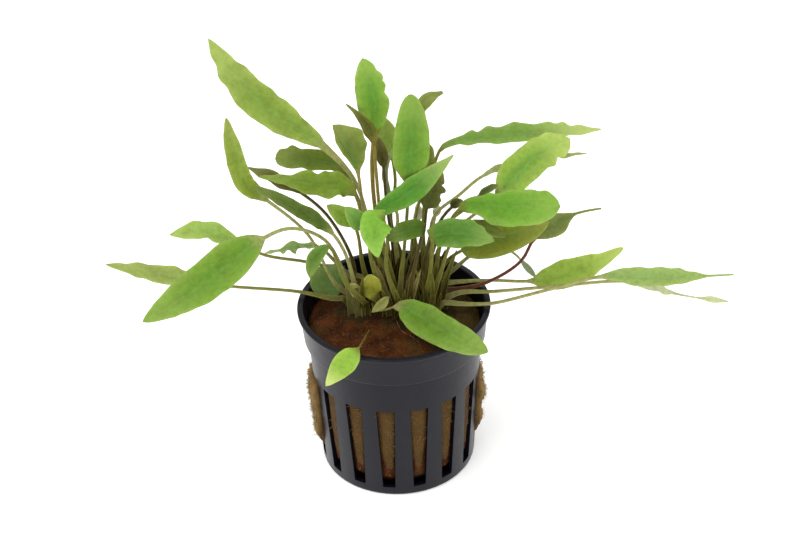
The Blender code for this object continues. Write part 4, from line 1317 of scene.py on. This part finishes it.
def grow_leaf(bm, layers, root, data, seed):
    """Grow one leaf's skin into bm and write down what its colour follows."""
    sections = leaf_sections(root, data, seed)
    levels = grow(bm, [points for points, _, _ in sections])
    values = section_values()
    fixed = {
        "heart": data["heart"],
        "pale_edge": data["pale_edge"],
        "pale_tip": data["pale_tip"],
        "own": linear(data["own"]),
        "stalk_colour": linear(STALKS[data["stalk"]]),
    }
    for level, (_, share, distance) in zip(levels, sections):
        along = share - data["withered"]
        # How near the root a point of the stalk is, for the brown and the painted shade at its foot
        foot = (1.0 - soft(distance / FOOT_LENGTH)) * (along < 0.0)
        for vert, (across, under) in zip(level, values):
            here = dict(fixed, across=across, along=along, under=under, foot=foot)
            for kind, value in here.items():
                vert[layers[kind]] = value


def make_leaf(name, root, data, seed, material):
    bm = bmesh.new()
    grow_leaf(bm, leaf_layers(bm), root, data, seed)
    bmesh.ops.recalc_face_normals(bm, faces=bm.faces)
    return finish_piece("living_" + name, bm, material, [name])


def make_leaves(material):
    pieces = []
    for centre, leaves in CROWNS.values():
        for name, root in root_places(centre, leaves).items():
            data = habit(name, leaves[name])
            pieces.append(make_leaf(name, root, data, len(pieces), material))
    foot = Vector((RUNNER_FOOT[0], RUNNER_FOOT[1], WOOL_TOP + GAP))
    data = habit("leaf_over_rim", RUNNER_LEAF)
    pieces.append(make_leaf("leaf_over_rim", foot, data, len(pieces), material))
    return pieces


leaf_skin = leaf_material()
leaves = make_leaves(leaf_skin)
print("leaves:", len(leaves), "faces:", sum(len(piece.data.polygons) for piece in leaves))

# %% [markdown]
# ## Old sheaths
#
# Between the stalks stand the papery sheaths of leaves that are gone, khaki above and brown at the
# foot, darker there still as painted shade among the stalks. They are short leaves without a
# stalk, so the same skin makes them, and a seeded random draw gives each its place, height and
# lean.

# %% Old sheaths
# How many stand at each crown
SHEATHS = {"crown_left": 3, "crown_back": 16, "crown_front": 9, "crown_right": 14,
           "crown_far": 14}
SHEATH_SUNK = 1.6
# The dark tone among these is painted shade: the stalk olive as it looks in shade
SHEATH_TONES = ("green", "dark", "tan", "dark", "green")
SHEATH_KHAKI = "#6e682c"
SHEATH_HEIGHTS = (6.0, 19.0)
SHEATH_LEANS = (0.05, 0.3)
SHEATH_WIDTHS = (0.9, 1.7)
SHEATH_RING = (1.0, 3.6)
SHEATH_JITTER = (-0.3, 0.3)
SHEATH_SEED = 5
SHEATH_SEEDS = (0.0, 50.0)
SHEATH_BEND = 1.5
SHEATH_SHARES = (0.45, 0.75, 1.0)
SHEATH_OUTLINE = ((0, 1), (0.5, 0.8), (0.8, 0.4), (1, 0.05))


def sheath_data(foot, away, rng):
    """One sheath's leaf table entry: it stands on foot and leans away."""
    height = rng.uniform(*SHEATH_HEIGHTS)
    lean = away * rng.uniform(*SHEATH_LEANS) * height
    blade = [foot + lean * share ** SHEATH_BEND + Vector((0, 0, 1)) * height * share
             for share in SHEATH_SHARES]
    shape = {"stem": [], "blade": blade, "width": rng.uniform(*SHEATH_WIDTHS), "fold": 0.6,
             "face": TOWARDS_FRONT, "outline": SHEATH_OUTLINE, "ruffle": 0.1,
             "own": SHEATH_KHAKI, "stalk": rng.choice(SHEATH_TONES), "withered": 1.0}
    return dict(ORDINARY, **shape)


def make_old_sheaths(material):
    rng = random.Random(SHEATH_SEED)
    bm = bmesh.new()
    layers = leaf_layers(bm)
    for name, (centre, _) in CROWNS.items():
        for number in range(SHEATHS[name]):
            angle = FULL_TURN * (number + rng.uniform(*SHEATH_JITTER)) / SHEATHS[name]
            away = outwards(angle)
            foot = Vector((centre[0], centre[1], CROWN_TOP - SHEATH_SUNK))
            foot += away * rng.uniform(*SHEATH_RING)
            grow_leaf(bm, layers, foot, sheath_data(foot, away, rng), rng.uniform(*SHEATH_SEEDS))
    bmesh.ops.recalc_face_normals(bm, faces=bm.faces)
    return finish_piece("old_leaf_sheaths", bm, material)


old_sheaths = make_old_sheaths(leaf_skin)
print("old sheaths, faces:", len(old_sheaths.data.polygons))

# %% [markdown]
# ## Crowns
#
# The stalks rise from short rootstocks that sit half sunk in the wool. Little of one shows: a low
# lumpy mound with the remains of old leaf sheaths, brown and darkened to near black as painted
# shade under the rosette. A fine sphere is flattened, cut level below and roughened with noise.

# %% Crowns
CROWN_RADIUS = 4.2
CROWN_HEIGHT = 2.1
CROWN_LIFT = 0.1
CROWN_BASE = WOOL_TOP + CROWN_LIFT
CROWN_LUMP = 1.6
SMOOTH_RIM = 0.1
RIDGE_OUT = 0.7
RIDGE_UP = 0.4
RIDGE_HEIGHT = 0.45
# The rootstock's brown and olive, darkened to near black as painted shade under the rosette
SHADED_SHEATH_BROWN = "#271206"
SHADED_SHEATH_OLIVE = "#3a2a0e"
STREAK_SIZE = 1.2 * MM
STREAK_SQUASH = (1.0, 1.0, 0.3)
FRAY_SIZE = 0.6 * MM
FRAY_DEPTH = 0.2 * MM


def make_crown(name, centre, material):
    bm = bmesh.new()
    bmesh.ops.create_icosphere(bm, subdivisions=4, radius=1.0)
    bmesh.ops.bisect_plane(bm, geom=list(bm.verts) + list(bm.edges) + list(bm.faces), dist=1e-5,
                           plane_co=(0, 0, 0), plane_no=(0, 0, -1), clear_outer=True)
    rim = [edge for edge in bm.edges if edge.is_boundary]
    bmesh.ops.contextual_create(bm, geom=rim)
    bmesh.ops.scale(bm, vec=(CROWN_RADIUS, CROWN_RADIUS, CROWN_HEIGHT), verts=bm.verts)
    bmesh.ops.translate(bm, vec=(centre[0], centre[1], CROWN_BASE), verts=bm.verts)
    for vert in bm.verts:
        if vert.co.z > CROWN_BASE + SMOOTH_RIM:
            ridge = noise.fractal(vert.co / CROWN_LUMP, 1.0, 2.0, 3)
            out = Vector((vert.co.x - centre[0], vert.co.y - centre[1], 0.0)).normalized()
            vert.co += (out * RIDGE_OUT + Vector((0, 0, RIDGE_UP))) * ridge * RIDGE_HEIGHT
    bmesh.ops.recalc_face_normals(bm, faces=bm.faces)
    return finish_piece("living_" + name, bm, material, [name])


def rootstock_material():
    material, tree, shader = new_material("old_leaf_sheath")
    streak = lumps(tree, STREAK_SIZE, 4.0, STREAK_SQUASH)
    streak = add(tree, "MapRange", {0: streak, 1: 0.4, 2: 0.65}, **SOFT_STEP)
    frayed = {"Height": lumps(tree, FRAY_SIZE, 4.0), "Distance": FRAY_DEPTH}
    feed(tree, shader, {
        "Base Color": layered(tree, linear(SHADED_SHEATH_BROWN), [(streak, linear(SHADED_SHEATH_OLIVE), BLEND)]),
        "Roughness": 0.85,
        "Specular IOR Level": 0.1,
        "Normal": add(tree, "Bump", frayed),
    })
    return material


sheath_look = rootstock_material()
for crown_name, (centre, _) in CROWNS.items():
    make_crown(crown_name, centre, sheath_look)
print("crowns:", len(CROWNS))

# %% [markdown]
# ## Stone wool
#
# The plug is spun rock fibre, soaked, and pressed into the cup until it fills the slots and swells
# out of some of them. Its solid has that form, with plain ridges for the swellings, so a copy of
# it is merged, remeshed into even small faces, filled out at the swellings, raised a little round
# the crowns and roughened with noise: lumps of several millimetres on top, and tufts of about one
# millimetre all over. Soaked, it lies against the pot's wall. Three values at each point keep how
# far it stands out of the pot, because the wool out there has dried to a paler brown, how near it
# is to the crowns, where the wool under the rosette is darkened as painted shade, and how mossy it
# is, on the right of the top and in the slots.

# %% Wool surface
WOOL_VALUES = ("dry", "crown_shade", "moss")
WOOL_VOXEL = 0.6 * MM
WOOL_LUMP = 5.0 * MM
WOOL_LUMP_HEIGHT = 0.9 * MM
WOOL_TUFT = 1.3 * MM
WOOL_TUFT_HEIGHT = 0.4 * MM
WOOL_THREAD = 0.5 * MM
WOOL_THREAD_HEIGHT = 0.18 * MM
DRY_FROM = 22.5 * MM
DRY_TO = 23.9 * MM
SLOT_FROM = 21.0 * MM
COLLAR_FROM = 40.5 * MM
COLLAR_TO = 43.0 * MM
PRESS_OUT = 0.5 * MM
SWELLINGS = {4: 1.7, 5: 1.5, 12: 2.1, 13: 1.9}
SWELLING_LOW = 4.5
SWELLING_HIGH = 31.5
SLOT_DRYNESS = 0.1
SLOT_MOSS = 0.6
# How far the painted shade round the crowns reaches
CROWN_SHADE_REACH = 7.5 * MM
MOUND_HEIGHT = 1.8 * MM
MOUND_SPREAD = 1.6
SWELL_FROM = 0.15 * MM
SMOOTHING = 0.5
SIDE_ROUGHNESS = 0.35
TOP_NORMAL = 0.3
MOSS_FROM = 6.0 * MM
MOSS_TO = 14.0 * MM


def merged_copy(node):
    """A CAD node's mesh with its loose triangles joined."""
    bm = bmesh.new()
    bm.from_mesh(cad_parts[node].data)
    bmesh.ops.remove_doubles(bm, verts=bm.verts, dist=0.001 * MM)
    return bm


def wool_roughness(point, facing_up):
    """How far the wool's surface moves out at a point, in metres."""
    tuft = noise.fractal(point / WOOL_TUFT, 1.0, 2.0, 3) * WOOL_TUFT_HEIGHT
    thread = abs(noise.noise(point / WOOL_THREAD)) * WOOL_THREAD_HEIGHT
    lump = noise.noise(point / WOOL_LUMP) * WOOL_LUMP_HEIGHT * facing_up
    return lump + (tuft + thread) * between(SIDE_ROUGHNESS, 1.0, facing_up)


def nearness_to_crowns(point):
    """1 at a crown's middle, falling to 0 at CROWN_SHADE_REACH from it."""
    gaps = [math.hypot(point.x - centre[0] * MM, point.y - centre[1] * MM)
            for centre, _ in CROWNS.values()]
    return max(0.0, 1.0 - min(gaps) / CROWN_SHADE_REACH)


# %% Swellings


def slot_number(point):
    """The slot that a point is nearest to."""
    azimuth = math.atan2(point.x, -point.y)
    return round((azimuth - SLOT_TURN) / FULL_TURN * SLOT_COUNT) % SLOT_COUNT


def swelling_at(point):
    """How far the wool of a swollen slot stands out of the wall at a point, in metres."""
    share = (point.z / MM - SWELLING_LOW) / (SWELLING_HIGH - SWELLING_LOW)
    if not 0.0 < share < 1.0:
        return 0.0
    return SWELLINGS.get(slot_number(point), 0.0) * MM * (1.0 - abs(2.0 * share - 1.0) ** 3)


def swell(bm):
    """Fill out the swellings, which are only ridges in the solid."""
    for vert in bm.verts:
        out = math.hypot(vert.co.x, vert.co.y)
        inside = (wall_radius(vert.co.z / MM) - WALL - GAP) * MM
        height = swelling_at(vert.co)
        if out > inside + SWELL_FROM and height:
            target = inside + (WALL + GAP) * MM + height
            reach = min((out - inside) / ((WALL + GAP) * MM), 1.0)
            vert.co.xy *= 1.0 + (target / out - 1.0) * reach


# %% Make the wool


def make_wool(material):
    bm = modified(merged_copy("stone_wool"), "REMESH", mode="VOXEL", voxel_size=WOOL_VOXEL)
    swell(bm)
    bmesh.ops.smooth_vert(bm, verts=bm.verts, factor=SMOOTHING, use_axis_x=True, use_axis_y=True,
                          use_axis_z=True)
    bm.normal_update()
    dry, crown_shade, moss = [bm.verts.layers.float.new(name) for name in WOOL_VALUES]
    moves = []
    for vert in bm.verts:
        out = math.hypot(vert.co.x, vert.co.y)
        swollen = soft((out - DRY_FROM) / (DRY_TO - DRY_FROM)) * (vert.co.z < COLLAR_FROM)
        in_slot = (out > SLOT_FROM) * (vert.co.z < COLLAR_FROM)
        vert[dry] = max(swollen, SLOT_DRYNESS * in_slot)
        on_top = vert.normal.z > TOP_NORMAL
        # Painted shade on the top of the wool round the crowns
        vert[crown_shade] = nearness_to_crowns(vert.co) * on_top
        mossy_side = soft((vert.co.x - MOSS_FROM) / (MOSS_TO - MOSS_FROM)) * on_top
        vert[moss] = max(mossy_side, SLOT_MOSS * in_slot)
        facing_up = max(vert.normal.z, swollen, 0.0)
        in_collar = soft((vert.co.z - COLLAR_FROM) / (COLLAR_TO - COLLAR_FROM))
        outward = Vector((vert.co.x, vert.co.y, 0.0)).normalized()
        pressed = outward * PRESS_OUT * in_collar * max(vert.normal.dot(outward), 0.0)
        mound = Vector((0.0, 0.0, MOUND_HEIGHT * soft(MOUND_SPREAD * vert[crown_shade])))
        moves.append(vert.normal * wool_roughness(vert.co, facing_up) + pressed + mound)
    for vert, move in zip(bm.verts, moves):
        vert.co += move
    return finish_piece("stone_wool_plug", bm, material, ["stone_wool"],
                        sharp=None, in_mm=False)


# %% [markdown]
# ## Wet stone wool
#
# Soaked wool is a dark red-brown with ochre threads, wet in patches. Threads are drawn half a
# millimetre apart, coarser than the real ones, because finer ones would not show. Of the values
# from the mesh, the dry one turns the swollen places a pale khaki, the crown shade one turns the
# wool between the stalks an olive that is nearly black, as painted shade under the rosette, and
# the moss one gives a brownish olive.

# %% Wool material
WOOL_DARK = "#2f1507"
WOOL_WARM = "#4f2a10"
WOOL_OCHRE = "#67401b"
WOOL_DRY = "#977a4c"
WOOL_OLIVE = "#45391a"
# Painted shade: a near-black olive on the wool under the rosette
WOOL_CROWN_SHADE = "#28200b"
WOOL_PATCH = 4.5 * MM
DAMP_PATCH = 7.0 * MM
CROWN_SHADE_PATCH = 2.5 * MM
WET_PATCH = 3.0 * MM
THREAD_SQUASH = (1.0, 1.0, 0.45)
THREAD_DEPTH = 0.25 * MM


def wool_material():
    material, tree, shader = new_material("wet_stone_wool", 1.4)
    kept = [add(tree, "Attribute", {}, "Fac", attribute_name=name) for name in WOOL_VALUES]
    dry, crown_shade, moss = kept
    threads = lumps(tree, WOOL_THREAD, 4.0, THREAD_SQUASH)
    ragged_crown_shade = add(tree, "Math", {0: crown_shade, 1: lumps(tree, CROWN_SHADE_PATCH, 4.0)}, operation="ADD")
    steps = {
        "patch": {0: lumps(tree, WOOL_PATCH, 5.0), 1: 0.34, 2: 0.7},
        "thread": {0: threads, 1: 0.52, 2: 0.75},
        "damp": {0: lumps(tree, DAMP_PATCH, 4.0), 1: 0.5, 2: 0.72},
        "crown_shade": {0: ragged_crown_shade, 1: 0.62, 2: 0.9},
    }
    seen = {name: add(tree, "MapRange", inputs, **SOFT_STEP) for name, inputs in steps.items()}
    shares = {"damp": (seen["damp"], 0.6), "moss": (moss, 0.8), "crown_shade": (seen["crown_shade"], 0.9),
              "dry": (dry, 0.8)}
    share = {name: add(tree, "Math", {0: a, 1: b}, **TIMES) for name, (a, b) in shares.items()}
    grown = add(tree, "Math", {0: share["damp"], 1: share["moss"]}, operation="MAXIMUM")
    rough = {"Height": lumps(tree, WOOL_THREAD, 6.0), "Distance": THREAD_DEPTH}
    colour = layered(tree, linear(WOOL_DARK), [
        (seen["patch"], linear(WOOL_WARM), BLEND),
        (seen["thread"], linear(WOOL_OCHRE), BLEND),
        (grown, linear(WOOL_OLIVE), BLEND),
        (share["crown_shade"], linear(WOOL_CROWN_SHADE), BLEND),
        (share["dry"], linear(WOOL_DRY), BLEND),
    ])
    feed(tree, shader, {
        "Base Color": colour,
        "Roughness": add(tree, "MapRange", {0: lumps(tree, WET_PATCH), 3: 0.45, 4: 0.95}),
        "Specular IOR Level": 0.1,
        "Normal": add(tree, "Bump", rough),
    })
    return material


wool_look = wool_material()
wool = make_wool(wool_look)
print("wool faces:", len(wool.data.polygons))

# %% [markdown]
# ## Wool fibres
#
# What makes wool read as wool is its edge: single fibres stand off it. A few bent three-sided
# strands are grown by extruding a triangle, and copies of them are dropped on the top, on the
# swellings and in the slots with a random turn and length. They are thicker than real rock fibre,
# which is far below a pixel.

# %% Fibres
FIBRE_RADIUS = 0.055 * MM
FIBRE_LENGTH = 1.5 * MM
FIBRE_STEPS = 4
FIBRE_KINDS = 6
FIBRE_BEND = 0.55
FIBRE_RISE = 0.3
FIBRE_TIP = 0.3
FIBRE_SIZES = (0.5, 1.3)
FIBRE_SEED = 11
LEAST_LIFT = 0.05
LIFT = 0.4


def fibre_template(rng):
    """One bent strand of unit length along +Z: a triangle extruded along a random walk."""
    bm = bmesh.new()
    bmesh.ops.create_circle(bm, cap_ends=True, segments=3, radius=1.0)
    face = next(iter(bm.faces))
    lean = Vector((0.0, 0.0, 1.0))
    for k in range(FIBRE_STEPS):
        parts = bmesh.ops.extrude_face_region(bm, geom=[face])["geom"]
        if k:
            bmesh.ops.delete(bm, geom=[face], context="FACES_ONLY")
        face = next(item for item in parts if isinstance(item, bmesh.types.BMFace))
        step = Vector((rng.uniform(-1, 1), rng.uniform(-1, 1), FIBRE_RISE))
        lean = (lean + step * FIBRE_BEND).normalized()
        bmesh.ops.translate(bm, verts=face.verts, vec=lean * FIBRE_LENGTH / FIBRE_STEPS
                            / FIBRE_RADIUS)
    middle = face.calc_center_median()
    bmesh.ops.scale(bm, vec=(FIBRE_TIP,) * 3, verts=face.verts, space=Matrix.Translation(-middle))
    bmesh.ops.scale(bm, vec=(FIBRE_RADIUS,) * 3, verts=bm.verts)
    bmesh.ops.recalc_face_normals(bm, faces=bm.faces)
    mesh = bpy.data.meshes.new("fibre")
    bm.to_mesh(mesh)
    bm.free()
    return mesh


def plant_fibres(bm, templates, spots, rng, lie_flat, dryness, length):
    """Drop a fibre on each (point, normal), leaning from the normal as far as lie_flat says."""
    dry = bm.verts.layers.float.get("dry") or bm.verts.layers.float.new("dry")
    for point, normal in spots:
        random_way = Vector([rng.uniform(-1, 1) for _ in range(3)]).normalized()
        way = (normal * (1.0 - lie_flat) + random_way * lie_flat).normalized()
        if way.dot(normal) < LEAST_LIFT:
            way = (way + normal * LIFT).normalized()
        known = len(bm.verts)
        bm.from_mesh(rng.choice(templates))
        bm.verts.ensure_lookup_table()
        size = rng.uniform(*FIBRE_SIZES) * length
        turn = way.to_track_quat("Z", "Y").to_matrix().to_4x4()
        matrix = Matrix.Translation(point) @ turn @ Matrix.Diagonal((1.0, 1.0, size, 1.0))
        bmesh.ops.transform(bm, matrix=matrix, verts=bm.verts[known:])
        for vert in bm.verts[known:]:
            vert[dry] = dryness


# %% Where the fibres stand
TOP_HEIGHT = 43.0 * MM
SWELLING_RADIUS = 23.8 * MM
SWELLING_HEIGHT = 36.0 * MM
SLOT_INNER = 21.6 * MM
SLOT_OUTER = 23.4 * MM
SLOT_HEIGHT = 31.0 * MM


def wool_spots(rng, count, wanted):
    """Random points of the wool's surface that wanted accepts, as (point, normal)."""
    mesh = wool.data
    faces = [face for face in mesh.polygons if wanted(face.center, face.normal)]
    chosen = [rng.choice(faces) for _ in range(count)]
    return [(face.center.copy(), face.normal.copy()) for face in chosen]


def is_top(centre, normal):
    return centre.z > TOP_HEIGHT and normal.z > TOP_NORMAL


def is_swelling(centre, normal):
    return math.hypot(centre.x, centre.y) > SWELLING_RADIUS and centre.z < SWELLING_HEIGHT


def is_slot(centre, normal):
    return SLOT_INNER < math.hypot(centre.x, centre.y) < SLOT_OUTER and centre.z < SLOT_HEIGHT


FIBRE_BEDS = (
    # where, how many, how flat they lie, how dry they are, how long against an ordinary one
    (is_top, 700, 0.93, 0.0, 1.0),
    (is_swelling, 1300, 0.9, 1.0, 0.7),
    (is_slot, 350, 0.95, 0.5, 1.0),
)


def make_fibres():
    rng = random.Random(FIBRE_SEED)
    templates = [fibre_template(rng) for _ in range(FIBRE_KINDS)]
    bm = bmesh.new()
    for wanted, count, lie_flat, dryness, length in FIBRE_BEDS:
        spots = wool_spots(rng, count, wanted)
        plant_fibres(bm, templates, spots, rng, lie_flat, dryness, length)
    for mesh in templates:
        bpy.data.meshes.remove(mesh)
    return finish_piece("wool_fibres", bm, fibre_material(), sharp=None, in_mm=False)


# %% Fibre material
FIBRE_BROWN = "#54301a"
FIBRE_PALE = "#6b4c2a"
FIBRE_DRY = "#94805a"
FIBRE_PATCH = 3.0 * MM


def fibre_material():
    material, tree, shader = new_material("rock_fibre")
    patch = add(tree, "MapRange", {0: lumps(tree, FIBRE_PATCH), 1: 0.4, 2: 0.65}, **SOFT_STEP)
    dry = add(tree, "Attribute", {}, "Fac", attribute_name="dry")
    layers = [(patch, linear(FIBRE_PALE), BLEND), (dry, linear(FIBRE_DRY), BLEND)]
    colour = layered(tree, linear(FIBRE_BROWN), layers)
    feed(tree, shader, {"Base Color": colour, "Roughness": 0.6})
    return material


fibres = make_fibres()
print("fibre faces:", len(fibres.data.polygons))

# %% [markdown]
# ## A fine root
#
# A root finer than a millimetre creeps over the wet wool from the front crown, pinkish and half
# sunk. It is a thin six-sided skin grown along a wandering line, and a ray straight down finds the
# wool's surface under every step of it.

# %% Fine root
ROOT_RADIUS = 0.13
ROOT_THINNING = 0.6
ROOT_LIFT = 0.3
ROOT_SIDES = 6
ROOT_STEP = 0.6
FEWEST_ROOT_STEPS = 4
ROOT_WANDER = 0.5
ROOT_WANDER_LENGTH = 3.0
ROOT_SEED = 90
# Points on the wool, from the pot's middle
ROOT_LINE = ((-2.4, 0.4), (-1.7, -1.6), (0.2, -3.2), (1.4, -6.4), (2.9, -7.6), (4.8, -11.0),
             (6.6, -14.6))


def root_rings(spots, surface):
    """The root's rings of points, each laid on the wool's surface."""
    turns = [FULL_TURN * n / ROOT_SIDES for n in range(ROOT_SIDES)]
    rings = []
    for k, spot in enumerate(spots):
        along = (spots[min(k + 1, len(spots) - 1)] - spots[max(k - 1, 0)]).normalized()
        side = along.cross(Vector((0, 0, 1)))
        spot = spot + side * ROOT_WANDER * wander(k * ROOT_STEP, ROOT_WANDER_LENGTH, ROOT_SEED)
        above = Vector((spot.x, spot.y, POT_HEIGHT)) * MM
        height = surface.ray_cast(above, Vector((0, 0, -1)))[0].z / MM
        radius = ROOT_RADIUS * (1.0 - ROOT_THINNING * k / len(spots))
        centre = Vector((spot.x, spot.y, height + ROOT_LIFT * radius))
        rings.append([centre + (side * math.cos(a) + Vector((0, 0, 1)) * math.sin(a)) * radius
                      for a in turns])
    return rings


def make_root(material):
    surface = BVHTree.FromObject(wool, bpy.context.evaluated_depsgraph_get())
    route = smooth_route([Vector((x, y, 0.0)) for x, y in ROOT_LINE])
    bm = bmesh.new()
    grow(bm, root_rings(share_out(route, ROOT_STEP, FEWEST_ROOT_STEPS), surface))
    bmesh.ops.recalc_face_normals(bm, faces=bm.faces)
    return finish_piece("fine_roots", bm, material, sharp=None)


# %% Root material
ROOT_PINK = "#8a6452"
ROOT_BROWN = "#5a3626"
ROOT_PATCH = 1.5 * MM
ROOT_SCATTER_REACH = 0.3 * MM


def root_material():
    material, tree, shader = new_material("young_root_skin", 1.4)
    patch = add(tree, "MapRange", {0: lumps(tree, ROOT_PATCH), 1: 0.42, 2: 0.62}, **SOFT_STEP)
    feed(tree, shader, {
        "Base Color": layered(tree, linear(ROOT_PINK), [(patch, linear(ROOT_BROWN), BLEND)]),
        "Roughness": 0.45,
        "Subsurface Weight": 0.1,
        "Subsurface Scale": ROOT_SCATTER_REACH,
    })
    return material


root = make_root(root_material())
print("root faces:", len(root.data.polygons))
